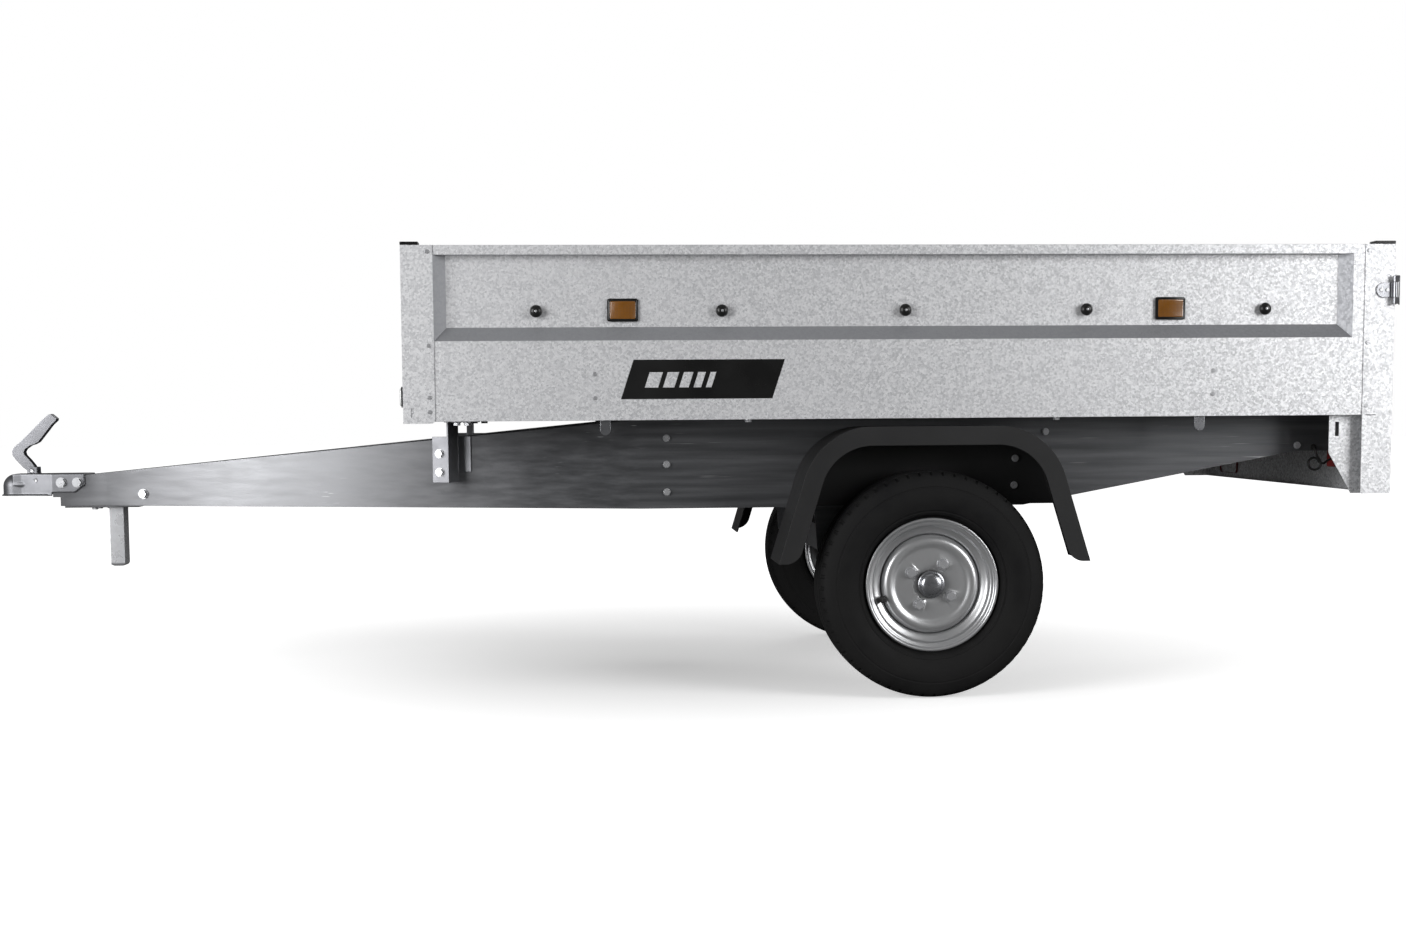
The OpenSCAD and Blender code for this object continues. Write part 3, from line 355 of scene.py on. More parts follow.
# %% Route and curve of the leads
LEAD_D = 5 * MM
LOOP_R = 13.5 * MM
LOOP_STEPS = 14
OUT = ((0, 4, 0), (0, 10, -0.5), (-0.5, 16, -5), (-0.5, 19, -12), (1.5, 18.5, -18.5), (5, 17.5, -23.5))
HOME = ((13, 6.5, -33), (18.5, 4.5, -36.5), (25.5, 2.5, -36), (32, 1, -32), (39, 0, -28), (48, -1, -26.5))
grommet_low, grommet_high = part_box("grommets")
lamp_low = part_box("lamp_bodies")[0]
rail_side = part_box("rail_right")[1].y
gland = Vector(((grommet_low.x + grommet_high.x) / 2, rail_side, (grommet_low.z + grommet_high.z) / 2))
loop_centre = gland + Vector((-1, 14, -37)) * MM


def lead_route():
    """Points from the grommet through one turn to the lamp body."""
    points = [gland + Vector(p) * MM for p in OUT]
    for i in range(LOOP_STEPS + 1):
        a = math.radians(40) - i * 2 * math.pi / LOOP_STEPS
        drift = (3 - i * 8 / LOOP_STEPS) * MM
        points.append(loop_centre + Vector((LOOP_R * math.cos(a), drift, LOOP_R * math.sin(a))))
    points += [gland + Vector(p) * MM for p in HOME]
    points.append(Vector((lamp_low.x, gland.y - 2 * MM, gland.z - 27 * MM)))
    return points


def length_of(points):
    return sum((b - a).length for a, b in zip(points, points[1:]))


def lead(name, side):
    points = [Vector((p.x, side * p.y, p.z)) for p in lead_route()]
    data = bpy.data.curves.new(name, "CURVE")
    data.dimensions = "3D"
    data.bevel_depth = 1.0
    data.bevel_resolution = 4
    data.use_fill_caps = True
    line = data.splines.new("POLY")
    line.points.add(len(points) - 1)
    for knot, p in zip(line.points, points):
        knot.co = (*p, 1)
        knot.radius = LEAD_D / 2
    line.use_smooth = True
    obj = bpy.data.objects.new(name, data)
    bpy.context.collection.objects.link(obj)
    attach(obj, "chassis")
    print(name, "length", round(length_of(points), 3))
    return obj


lead_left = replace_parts(lead("lead_left", -1), "lamp_leads")
lead_right = lead("lead_right", 1)

# %% [markdown]
# ## Shared effects
# Five effects come back in several finishes, so each is one node group. *Zinc
# spangle* is the frosty patchwork that zinc crystals leave on galvanised sheet.
# *Run marks* are the long soft streaks of drawn or dipped steel. *Mould grain* is
# the fine leather-like texture of a plastic moulding. *Road film* is the thin
# uneven veil of dust that darkens or lightens any outdoor surface. *Pressed
# slopes* picks the leaning faces of a pressing, which the sheet's finish darkens
# as painted shade.

# %% Building node trees
AXES = ("X", "Y", "Z")


def new_group(name, inputs, outputs):
    """An empty group with float inputs {name: value} and float outputs."""
    group = bpy.data.node_groups.new(name, "ShaderNodeTree")
    for label, value in inputs.items():
        socket = group.interface.new_socket(name=label, in_out="INPUT", socket_type="NodeSocketFloat")
        socket.default_value = value
    for label in outputs:
        group.interface.new_socket(name=label, in_out="OUTPUT", socket_type="NodeSocketFloat")
    return group, group.nodes.new("NodeGroupInput"), group.nodes.new("NodeGroupOutput")


def math_node(tree, operation, a, b):
    """A math node whose operands are sockets or numbers; returns its output."""
    node = tree.nodes.new("ShaderNodeMath")
    node.operation = operation
    for socket, value in zip(node.inputs, (a, b)):
        if isinstance(value, (int, float)):
            socket.default_value = value
        else:
            tree.links.new(value, socket)
    return node.outputs[0]


def ramp(tree, value, low, high):
    """Maps low..high to 0..1 and clamps it."""
    node = tree.nodes.new("ShaderNodeMapRange")
    node.inputs["From Min"].default_value = low
    node.inputs["From Max"].default_value = high
    tree.links.new(value, node.inputs["Value"])
    return node.outputs["Result"]


def place_of(tree, stretch=(1, 1, 1)):
    """Object coordinates, scaled along each axis."""
    source = tree.nodes.new("ShaderNodeTexCoord")
    mapping = tree.nodes.new("ShaderNodeMapping")
    mapping.inputs["Scale"].default_value = stretch
    tree.links.new(source.outputs["Object"], mapping.inputs["Vector"])
    return mapping.outputs["Vector"]


def noise(tree, place, scale, detail=3.0, rough=0.55):
    node = tree.nodes.new("ShaderNodeTexNoise")
    node.inputs["Detail"].default_value = detail
    node.inputs["Roughness"].default_value = rough
    if isinstance(scale, (int, float)):
        node.inputs["Scale"].default_value = scale
    else:
        tree.links.new(scale, node.inputs["Scale"])
    tree.links.new(place, node.inputs["Vector"])
    return node.outputs["Fac"]


print("node helpers ready")

# %% [markdown]
# Zinc crystals are Voronoi cells of different tones, with a finer frost over them.
# Run marks are noise that is stretched along the sheet.

# %% Spangle and run marks


def make_spangle():
    tree, given, result = new_group("zinc spangle", {"Cells": 230.0}, ["Shade", "Height"])
    place = place_of(tree)
    cells = tree.nodes.new("ShaderNodeTexVoronoi")
    cells.inputs["Randomness"].default_value = 1.0
    tree.links.new(given.outputs["Cells"], cells.inputs["Scale"])
    tree.links.new(place, cells.inputs["Vector"])
    split = tree.nodes.new("ShaderNodeSeparateColor")
    tree.links.new(cells.outputs["Color"], split.inputs["Color"])
    frost = noise(tree, place, math_node(tree, "MULTIPLY", given.outputs["Cells"], 2.6), 2.0, 0.6)
    mixed = math_node(tree, "ADD", math_node(tree, "MULTIPLY", split.outputs[0], 0.55),
                      math_node(tree, "MULTIPLY", ramp(tree, frost, 0.30, 0.70), 0.45))
    tree.links.new(mixed, result.inputs["Shade"])
    tree.links.new(math_node(tree, "MULTIPLY", cells.outputs["Distance"], 0.6), result.inputs["Height"])
    return tree


def make_streaks():
    tree, given, result = new_group("run marks", {"Fineness": 1.0}, ["Streak", "Scratch"])
    place = place_of(tree, (3, 40, 70))
    scaled = tree.nodes.new("ShaderNodeVectorMath")
    scaled.operation = "SCALE"
    tree.links.new(place, scaled.inputs[0])
    tree.links.new(given.outputs["Fineness"], scaled.inputs["Scale"])
    streak = ramp(tree, noise(tree, scaled.outputs["Vector"], 1.0, 4.0), 0.30, 0.72)
    tree.links.new(streak, result.inputs["Streak"])
    far = place_of(tree, (5, 60, 190))
    scratch = ramp(tree, noise(tree, far, 1.0, 2.0), 0.66, 0.74)
    where = ramp(tree, noise(tree, place_of(tree), 3.0, 2.0), 0.52, 0.60)
    tree.links.new(math_node(tree, "MULTIPLY", scratch, where), result.inputs["Scratch"])
    return tree


SPANGLE, STREAKS = make_spangle(), make_streaks()
print("groups:", [g.name for g in bpy.data.node_groups])

# %% [markdown]
# The other three are a bump of soft cells, a cloudy mask with a mask of what is
# near the ground, and a mask of the faces that lean between the three axes.

# %% Grain, film and slopes


def make_grain():
    tree, given, result = new_group("mould grain", {"Size": 900.0}, ["Height"])
    cells = tree.nodes.new("ShaderNodeTexVoronoi")
    cells.feature = "SMOOTH_F1"
    tree.links.new(given.outputs["Size"], cells.inputs["Scale"])
    tree.links.new(place_of(tree), cells.inputs["Vector"])
    tree.links.new(cells.outputs["Distance"], result.inputs["Height"])
    return tree


def make_film():
    tree, given, result = new_group("road film", {"Patch": 2.5}, ["Film", "Low"])
    place = place_of(tree)
    patch = ramp(tree, noise(tree, place, given.outputs["Patch"], 5.0, 0.6), 0.35, 0.75)
    tree.links.new(patch, result.inputs["Film"])
    split = tree.nodes.new("ShaderNodeSeparateXYZ")
    tree.links.new(place, split.inputs["Vector"])
    tree.links.new(ramp(tree, split.outputs["Z"], 0.5, 0.1), result.inputs["Low"])
    return tree


def make_slopes():
    tree, _, result = new_group("pressed slopes", {}, ["Slope"])
    source = tree.nodes.new("ShaderNodeTexCoord")
    split = tree.nodes.new("ShaderNodeSeparateXYZ")
    tree.links.new(source.outputs["Normal"], split.inputs["Vector"])
    sizes = [math_node(tree, "ABSOLUTE", split.outputs[axis], 0.0) for axis in AXES]
    largest = math_node(tree, "MAXIMUM", math_node(tree, "MAXIMUM", sizes[0], sizes[1]), sizes[2])
    tree.links.new(ramp(tree, largest, 0.93, 0.84), result.inputs["Slope"])
    return tree


GRAIN, FILM, SLOPES = make_grain(), make_film(), make_slopes()
print("groups:", [g.name for g in bpy.data.node_groups])

# %% [markdown]
# ## Finishes
# A finish starts from a Principled shader with its constant numbers set on the
# shader itself. Colours that vary are a mix of two tones of the same material,
# driven by one of the shared effects, and the same effect moves the roughness and
# the bump a little, as it does on the real surface.

# %% Building a finish


class Finish:
    """One material under construction."""

    def __init__(self, name, metallic=0.0, roughness=0.5, **constants):
        self.name = name
        self.material = bpy.data.materials.new(name)
        self.material.use_nodes = True
        self.tree = self.material.node_tree
        self.shader = self.tree.nodes["Principled BSDF"]
        self.shader.inputs["Metallic"].default_value = metallic
        self.shader.inputs["Roughness"].default_value = roughness
        for label, value in constants.items():
            self.shader.inputs[label.replace("_", " ")].default_value = value

    def effect(self, group, **values):
        """Places a shared effect and returns its outputs."""
        node = self.tree.nodes.new("ShaderNodeGroup")
        node.node_tree = group
        for label, value in values.items():
            node.inputs[label].default_value = value
        return node.outputs

    def blend(self, mask, first, second):
        """Mixes two colours, each a triple or a socket, by a mask."""
        node = self.tree.nodes.new("ShaderNodeMix")
        node.data_type = "RGBA"
        self.tree.links.new(mask, node.inputs["Factor"])
        for socket, value in ((node.inputs[6], first), (node.inputs[7], second)):
            if isinstance(value, tuple):
                socket.default_value = (*value, 1)
            else:
                self.tree.links.new(value, socket)
        return node.outputs[2]

    def colour(self, socket):
        self.tree.links.new(socket, self.shader.inputs["Base Color"])

    def rough(self, mask, low, high):
        node = self.tree.nodes.new("ShaderNodeMapRange")
        node.inputs["To Min"].default_value = low
        node.inputs["To Max"].default_value = high
        self.tree.links.new(mask, node.inputs["Value"])
        self.tree.links.new(node.outputs["Result"], self.shader.inputs["Roughness"])

    def bump(self, height, strength, distance):
        node = self.tree.nodes.new("ShaderNodeBump")
        node.inputs["Strength"].default_value = strength
        node.inputs["Distance"].default_value = distance
        self.tree.links.new(height, node.inputs["Height"])
        self.tree.links.new(node.outputs["Normal"], self.shader.inputs["Normal"])

    def part(self, mask, share):
        """A share of a mask."""
        return math_node(self.tree, "MULTIPLY", mask, share)

    def done(self):
        """Keeps the finish under its name."""
        finishes[self.name] = self.material
        print("finish:", self.name)


finishes = {}
print("finish builder ready")

# %% [markdown]
# ### Galvanised sheet
# The sheet of the box is galvanised with a fine, clearly visible spangle, and its
# leaning faces carry painted shade. The rails are thicker sheet, whose zinc runs
# in long soft streaks with a few bright scratches. Their colour carries painted
# light and shade: lighter on the open drawbar, painted shade at the nose, and a
# deep painted shadow under the box.

# %% Galvanised sheet


def sheet_finish():
    f = Finish("spangled_sheet", metallic=0.55, roughness=0.5)
    zinc = f.effect(SPANGLE, Cells=230.0)
    film = f.effect(FILM, Patch=2.0)
    tone = f.blend(ramp(f.tree, zinc["Shade"], 0.12, 0.88), (0.40, 0.405, 0.42), (0.86, 0.865, 0.88))
    tone = f.blend(f.part(film["Film"], 0.25), tone, (0.70, 0.70, 0.72))
    # Faces that lean are darkened almost to a dark grey: painted shade on the slopes of the pressing.
    slope_shade = f.effect(SLOPES)["Slope"]
    f.colour(f.blend(f.part(slope_shade, 0.92), tone, (0.24, 0.245, 0.26)))
    f.rough(zinc["Shade"], 0.58, 0.40)
    f.bump(zinc["Height"], 0.12, 0.3 * MM)
    f.done()


def rail_finish():
    f = Finish("galvanised_heavy", metallic=0.75, roughness=0.42)
    run = f.effect(STREAKS, Fineness=1.0)
    zinc = f.effect(SPANGLE, Cells=120.0)
    film = f.effect(FILM, Patch=3.0)
    tone = f.blend(run["Streak"], (0.25, 0.255, 0.27), (0.34, 0.345, 0.36))
    tone = f.blend(f.part(zinc["Shade"], 0.16), tone, (0.50, 0.51, 0.52))
    tone = f.blend(f.part(film["Film"], 0.30), tone, (0.20, 0.205, 0.215))
    # Painted light and shade by place along the rail: a deep painted shadow under the box, a lighter tone on
    # the open drawbar, and painted shade again at the nose.
    along = f.tree.nodes.new("ShaderNodeSeparateXYZ")
    f.tree.links.new(place_of(f.tree), along.inputs["Vector"])
    out_of_box_shade = ramp(f.tree, along.outputs["X"], -0.25, -0.75)
    box_shade_tone = f.blend(f.part(run["Streak"], 0.22), (0.085, 0.087, 0.092), tone)
    light = f.blend(run["Streak"], (0.215, 0.218, 0.228), (0.255, 0.258, 0.268))
    nose_shade = ramp(f.tree, along.outputs["X"], -1.0, -1.35)
    light = f.blend(nose_shade, light, (0.07, 0.071, 0.075))
    tone = f.blend(out_of_box_shade, box_shade_tone, light)
    f.colour(f.blend(f.part(run["Scratch"], 0.6), tone, (0.62, 0.63, 0.64)))
    f.rough(run["Streak"], 0.38, 0.52)
    f.bump(run["Streak"], 0.04, 0.3 * MM)
    f.done()


sheet_finish()
rail_finish()

# %% [markdown]
# ### Plated fittings and bare steel
# Bolts, rivets and the parking leg are plated bright. The coupling and its handle
# are stamped from thicker steel and plated duller. Pins and bearings are bare
# machined steel, with fine turning marks.

# %% Plated fittings and bare steel


def plated_finish(name, metallic, patch, tones, roughness, bump):
    """Zinc plate in two tones that change in soft patches."""
    f = Finish(name, metallic=metallic)
    film = f.effect(FILM, Patch=patch)
    f.colour(f.blend(film["Film"], *tones))
    f.rough(film["Film"], *roughness)
    f.bump(film["Film"], bump, 0.1 * MM)
    f.done()


def zinc_finish():
    f = Finish("zinc_plated", metallic=0.95, roughness=0.28)
    film = f.effect(FILM, Patch=18.0)
    run = f.effect(STREAKS, Fineness=1.5)
    tone = f.blend(film["Film"], (0.36, 0.365, 0.385), (0.20, 0.205, 0.22))
    f.colour(f.blend(f.part(run["Streak"], 0.2), tone, (0.50, 0.50, 0.52)))
    f.rough(film["Film"], 0.22, 0.36)
    f.bump(film["Film"], 0.05, 0.2 * MM)
    f.done()


def pin_finish():
    f = Finish("steel_pin", metallic=1.0, roughness=0.3)
    run = f.effect(STREAKS, Fineness=14.0)
    f.colour(f.blend(run["Streak"], (0.26, 0.26, 0.27), (0.48, 0.48, 0.49)))
    f.rough(run["Streak"], 0.22, 0.40)
    f.bump(run["Streak"], 0.15, 0.05 * MM)
    f.done()


plated_finish("bright_zinc", 0.6, 40.0, ((0.50, 0.505, 0.52), (0.36, 0.365, 0.38)), (0.24, 0.38), 0.05)
plated_finish("stamped_zinc", 0.8, 9.0, ((0.20, 0.202, 0.215), (0.12, 0.122, 0.13)), (0.36, 0.48), 0.03)
zinc_finish()
pin_finish()

# %% [markdown]
# ### Painted metal
# The wheels are silver lacquer under a clear coat, and the hubs are black paint.

# %% Painted metal


def painted_finish(name, dark, light, metallic, roughness, coat):
    f = Finish(name, metallic=metallic, roughness=roughness, Coat_Weight=coat, Coat_Roughness=0.25)
    film = f.effect(FILM, Patch=9.0)
    grain = f.effect(GRAIN, Size=1400.0)
    f.colour(f.blend(film["Film"], light, dark))
    f.rough(film["Film"], roughness - 0.06, roughness + 0.10)
    f.bump(grain["Height"], 0.10, 0.1 * MM)
    f.done()


painted_finish("wheel_silver", (0.40, 0.405, 0.41), (0.52, 0.525, 0.535), 0.8, 0.34, 0.2)
painted_finish("hub_paint", (0.03, 0.03, 0.03), (0.055, 0.055, 0.058), 0.0, 0.55, 0.0)

# %% [markdown]
# ### Rubber and plastics
# Tyre rubber is almost black, dull on the tread and a little shinier on the wall,
# with a dusting in the grooves. The fenders are a dark grey moulding with a fine
# grain; the small black plastics are darker and smoother.

# %% Rubber and plastics


def tyre_finish():
    f = Finish("tyre_rubber", roughness=0.8, Specular_IOR_Level=0.14)
    film = f.effect(FILM, Patch=14.0)
    grain = f.effect(GRAIN, Size=1100.0)
    tone = f.blend(film["Film"], (0.005, 0.005, 0.0055), (0.010, 0.010, 0.010))
    f.colour(f.blend(f.part(film["Low"], 0.04), tone, (0.06, 0.057, 0.052)))
    f.rough(film["Film"], 0.62, 0.85)
    f.bump(grain["Height"], 0.20, 0.2 * MM)
    f.done()


def moulded_finish(name, dark, light, roughness, size, strength):
    f = Finish(name, roughness=roughness, Specular_IOR_Level=0.3)
    film = f.effect(FILM, Patch=6.0)
    grain = f.effect(GRAIN, Size=size)
    f.colour(f.blend(film["Film"], dark, light))
    f.rough(film["Film"], roughness - 0.05, roughness + 0.08)
    f.bump(grain["Height"], strength, 0.15 * MM)
    f.done()


tyre_finish()
moulded_finish("black_rubber", (0.012, 0.012, 0.012), (0.024, 0.024, 0.024), 0.6, 1200.0, 0.12)
moulded_finish("fender_plastic", (0.012, 0.012, 0.0125), (0.018, 0.018, 0.0185), 0.6, 900.0, 0.3)
moulded_finish("black_plastic", (0.006, 0.006, 0.006), (0.012, 0.012, 0.012), 0.3, 1500.0, 0.08)

# %% [markdown]
# ### Lenses
# A reflector is a clear coloured sheet with a grid of small prisms behind a smooth
# face. The prisms are drawn as a bump and as a cell-by-cell change of tone, and
# the smooth face is a clear coat. Real glass-like transmission would need the
# whole inside of the lamp to be built, which nobody sees.

# %% Lenses


def lens_finish(name, deep, bright, pitch):
    f = Finish(name, roughness=0.25, Coat_Weight=1.0, Coat_Roughness=0.05)
    source = place_of(f.tree)
    prisms = f.tree.nodes.new("ShaderNodeTexVoronoi")
    prisms.inputs["Scale"].default_value = 1 / pitch
    prisms.inputs["Randomness"].default_value = 0.0
    f.tree.links.new(source, prisms.inputs["Vector"])
    film = f.effect(FILM, Patch=30.0)
    tone = f.blend(ramp(f.tree, prisms.outputs["Distance"], 0.1, 0.7), bright, deep)
    f.colour(f.blend(f.part(film["Film"], 0.3), tone, deep))
    f.rough(prisms.outputs["Distance"], 0.15, 0.45)
    f.bump(prisms.outputs["Distance"], 0.35, 0.6 * MM)
    f.done()


lens_finish("amber_lens", (0.10, 0.036, 0.003), (0.26, 0.10, 0.009), 3 * MM)
lens_finish("white_lens", (0.45, 0.46, 0.46), (0.80, 0.81, 0.81), 2.5 * MM)
lens_finish("red_lens", (0.16, 0.008, 0.008), (0.45, 0.02, 0.018), 4 * MM)
moulded_finish("red_housing", (0.14, 0.008, 0.008), (0.22, 0.014, 0.012), 0.3, 1500.0, 0.05)

# %% [markdown]
# ### The floor board
# The load floor is birch plywood with a brown phenolic film. Its top carries a
# fine woven-wire print against slipping, and its cut edge would show the plies.

# %% Floor board


def board_finish():
    f = Finish("floor_board", roughness=0.55, Coat_Weight=0.15, Coat_Roughness=0.4)
    place = place_of(f.tree)
    waves = []
    for direction in AXES[:2]:
        wave = f.tree.nodes.new("ShaderNodeTexWave")
        wave.bands_direction = direction
        wave.inputs["Scale"].default_value = 60.0
        f.tree.links.new(place, wave.inputs["Vector"])
        waves.append(wave.outputs["Fac"])
    mesh = math_node(f.tree, "MAXIMUM", waves[0], waves[1])
    film = f.effect(FILM, Patch=3.0)
    tone = f.blend(film["Film"], (0.060, 0.036, 0.022), (0.105, 0.066, 0.040))
    f.colour(f.blend(f.part(mesh, 0.35), tone, (0.14, 0.095, 0.06)))
    f.rough(mesh, 0.45, 0.65)
    f.bump(mesh, 0.35, 0.4 * MM)
    f.done()


board_finish()

# %% [markdown]
# ### The studio floor
# The camera sees a pale floor that glows more with distance. Every other ray sees
# a dark one without any glow, so that the floor doesn't light the trailer.

# %% Studio floor


def floor_finish():
    f = Finish("studio_floor", roughness=0.9, Emission_Color=WHITE)
    film = f.effect(FILM, Patch=0.6)
    seen_ray = f.tree.nodes.new("ShaderNodeLightPath").outputs["Is Camera Ray"]
    pale = f.blend(film["Film"], (0.80, 0.80, 0.80), (0.82, 0.82, 0.82))
    f.colour(f.blend(seen_ray, (0.16, 0.16, 0.16), pale))
    away = f.tree.nodes.new("ShaderNodeVectorMath")
    away.operation = "LENGTH"
    f.tree.links.new(place_of(f.tree), away.inputs[0])
    glow = math_node(f.tree, "MULTIPLY", ramp(f.tree, away.outputs["Value"], -0.8, 2.4), seen_ray)
    f.tree.links.new(glow, f.shader.inputs["Emission Strength"])
    f.done()


floor_finish()
floor.data.materials.append(finishes["studio_floor"])

# %% [markdown]
# ### First coat
# Every engineering node takes the finish of its own slot, and keeps it unless a
# new piece stands for it later.

# %% Finishes on the nodes and the leads
for node, obj in nodes.items():
    obj.data.materials.clear()
    obj.data.materials.append(finishes[slot_of_node[node]])
for piece in (lead_left, lead_right):
    piece.data.materials.append(finishes["black_rubber"])
print("nodes finished:", len(nodes))

# %% [markdown]
# ## Rounded copies
# Folded and stamped steel never ends in a perfectly sharp edge, and the light
# shows it: each edge carries a thin bright line. A copy of a node is merged from
# loose triangles into whole faces, its edges are rounded, and it stands for the
# node. The engineering node itself is never touched.

# %% Merged copies


def copied(node, name):
    """A merged copy of an engineering node, with whole flat faces."""
    obj = nodes[node].copy()
    obj.data = nodes[node].data.copy()
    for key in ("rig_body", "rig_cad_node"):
        del obj[key]
    obj.name = name
    obj.parent = None
    bpy.context.collection.objects.link(obj)
    edit(obj)
    bpy.ops.mesh.remove_doubles(threshold=MERGE / 2)
    bpy.ops.mesh.dissolve_limited(angle_limit=math.radians(1.0))
    bpy.ops.object.mode_set(mode="OBJECT")
    return obj


print("copies keep their", len(nodes), "nodes untouched")

# %% [markdown]
# Faces and edges are selected in code, by a test of their place. An edge that is
# to be rounded wide often runs along one axis, which is a test of its own.

# %% Picking faces and edges


def pick_faces(obj, test):
    """Opens edit mode with the faces selected whose (centre, normal) pass the test."""
    only(obj)
    obj.data.vertices.foreach_set("select", [False] * len(obj.data.vertices))
    obj.data.edges.foreach_set("select", [False] * len(obj.data.edges))
    flags = [bool(test(f.center, f.normal)) for f in obj.data.polygons]
    obj.data.polygons.foreach_set("select", flags)
    bpy.ops.object.mode_set(mode="EDIT")
    bpy.ops.mesh.select_mode(type="FACE")
    return sum(flags)


def pick_edges(obj, test):
    """Opens edit mode with the edges selected whose two ends pass the test."""
    only(obj)
    mesh = obj.data
    mesh.vertices.foreach_set("select", [False] * len(mesh.vertices))
    mesh.polygons.foreach_set("select", [False] * len(mesh.polygons))
    corner = [v.co for v in mesh.vertices]
    flags = [bool(test(corner[e.vertices[0]], corner[e.vertices[1]])) for e in mesh.edges]
    mesh.edges.foreach_set("select", flags)
    bpy.ops.object.mode_set(mode="EDIT")
    bpy.ops.mesh.select_mode(type="EDGE")
    return sum(flags)


def runs_along_y(a, b):
    return abs(a.x - b.x) < 0.1 * MM and abs(a.z - b.z) < 0.1 * MM


def wide_round(obj, test, width, segments):
    """Bevels the picked edges wide and returns the object."""
    print(obj.name, "edges rounded wide:", pick_edges(obj, test))
    bpy.ops.mesh.bevel(offset=width, segments=segments)
    bpy.ops.object.mode_set(mode="OBJECT")
    return obj


# %% [markdown]
# ## Tyres
# A 10-inch trailer tyre: four ribs of tread between three grooves, short slots
# across the shoulders, a rounded wall with a fine ring, and a rib next to the
# rim. The section is drawn once and spun round the axle. The slots are cut after
# that, by picking every third face of the shoulder and setting it inwards.

# %% Tyres
TYRE_STEPS = 180
WALL = ((130, 33), (130.2, 38.5), (138, 40), (146.5, 43.2), (149, 49), (151, 56.5), (155, 60.5),
        (158.5, 61), (160, 63.4), (172, 69.2), (186, 72.3), (198, 72.2), (206, 71), (207, 70),
        (209.5, 69.8), (210.5, 70.4), (219, 68.2), (227, 65), (233, 61), (238, 55.5), (240.6, 49),
        (241.8, 43))
TREAD = ((236, 42.4), (236, 37.6), (242.2, 37), (242.9, 17.5), (236.5, 17), (236.5, 11.5), (243, 11))
LINER = ((228, 10), (227, 38), (220, 51), (189, 63), (162, 55), (150, 40), (138, 31))


def axle_centre(node):
    low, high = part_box(node)
    return (low + high) / 2


def tyre(node, name):
    centre = axle_centre(node)
    half = WALL + TREAD
    ring = [*half, *[(r, -y) for r, y in reversed(half)],
            *[(r, -y) for r, y in reversed(LINER)], *LINER, half[0]]
    obj = turned(name, centre, ring, TYRE_STEPS)

    def shoulder_slot(point, normal):
        p = point - centre
        radius = math.hypot(p.x, p.z)
        step = round((math.degrees(math.atan2(p.z, p.x)) / 360 * TYRE_STEPS) - 0.5)
        return 0.231 < radius < 0.243 and 0.043 < abs(p.y) < 0.064 and step % 3 == 0

    pick_faces(obj, shoulder_slot)
    bpy.ops.mesh.inset(thickness=1.8 * MM, depth=-3.0 * MM)
    bpy.ops.object.mode_set(mode="OBJECT")
    return settle(smooth(obj, 32), node, finishes["tyre_rubber"])


tyres = [tyre("tyre_left", "tread_left"), tyre("tyre_right", "tread_right")]
print("tyre faces:", len(tyres[0].data.polygons))

# %% [markdown]
# ## Wheels
# A pressed steel wheel is two pieces welded into one: a rolled rim with a deep
# well, and a dished disc. Both are single lines spun round the axle and given a
# wall thickness. The disc is pressed up into a pad round each bolt hole, which
# stiffens it; the pads are picked by their distance from the bolt circle.

# %% Wheels
BOLT_CIRCLE = 50 * MM
BOLT_ANGLES = [math.radians(-31 + 90 * i) for i in range(4)]
PAD_R = 15 * MM
RIM = ((142.2, 46.5), (141.9, 49), (139.6, 50), (137.2, 48.3), (136.4, 44.5), (133.5, 42.8), (128.5, 42.2),
       (126.6, 40), (126.4, 33), (124.5, 29.5), (112, 24.6), (108.4, 21.6), (107.8, 15), (107.8, -6),
       (110.5, -10), (124, -17), (126.4, -20), (126.6, -40), (128.5, -42.2), (133.5, -42.8), (136.4, -44.5),
       (137.2, -48.3), (139.6, -50), (141.9, -49), (142.2, -46.5))
DISH = ((29.8, 28.5), (30.6, 30.2), (36, 30.4), (39, 31.8), (62, 31.8), (74, 31.2), (79, 31.6), (84, 34.6),
        (90, 36.2), (96, 35.4), (101, 31.6), (104, 25), (105.2, 18), (105.6, 8))


def outwards(centre):
    """Which way along Y is away from the trailer's middle."""
    return 1 if centre.y > 0 else -1


def facing(side, profile):
    """A profile of (radius, offset) pairs, turned to face outwards on that side."""
    return [(r, side * y) for r, y in profile]


def bolt_place(centre, angle):
    return centre + Vector((math.cos(angle), 0, math.sin(angle))) * BOLT_CIRCLE


def wheel(node, name):
    centre = axle_centre(node)
    side = outwards(centre)
    rolled = turned(name + "_rim", centre, facing(side, RIM))
    pressed = turned(name + "_dish", centre, facing(side, DISH))
    pads = [bolt_place(centre, a) for a in BOLT_ANGLES]

    def near_bolt(point, normal):
        return any(math.hypot(point.x - p.x, point.z - p.z) < PAD_R for p in pads)

    pick_faces(pressed, near_bolt)
    bpy.ops.mesh.inset(thickness=2.0 * MM)
    bpy.ops.transform.translate(value=(0, side * 1.0 * MM, 0))
    bpy.ops.object.mode_set(mode="OBJECT")
    for piece in (rolled, pressed):
        apply(piece, "SOLIDIFY", thickness=2.6 * MM, offset=0)
        apply(piece, "SUBSURF", levels=1, render_levels=1)
    return settle(smooth(joined(name, [rolled, pressed]), 40), node, finishes["wheel_silver"])


wheels = [wheel("rim_left", "wheel_left"), wheel("rim_right", "wheel_right")]
print("wheel faces:", len(wheels[0].data.polygons))

# %% [markdown]
# ## Fenders
# Each fender is one plastic moulding: a wide band bent over the wheel, a lip along
# its outer edge and a wall against the rail. The foot corners of the lip are well
# rounded on the wheel's side, so those are bevelled first, wide, and all other
# edges after them, finely.

# %% Fenders


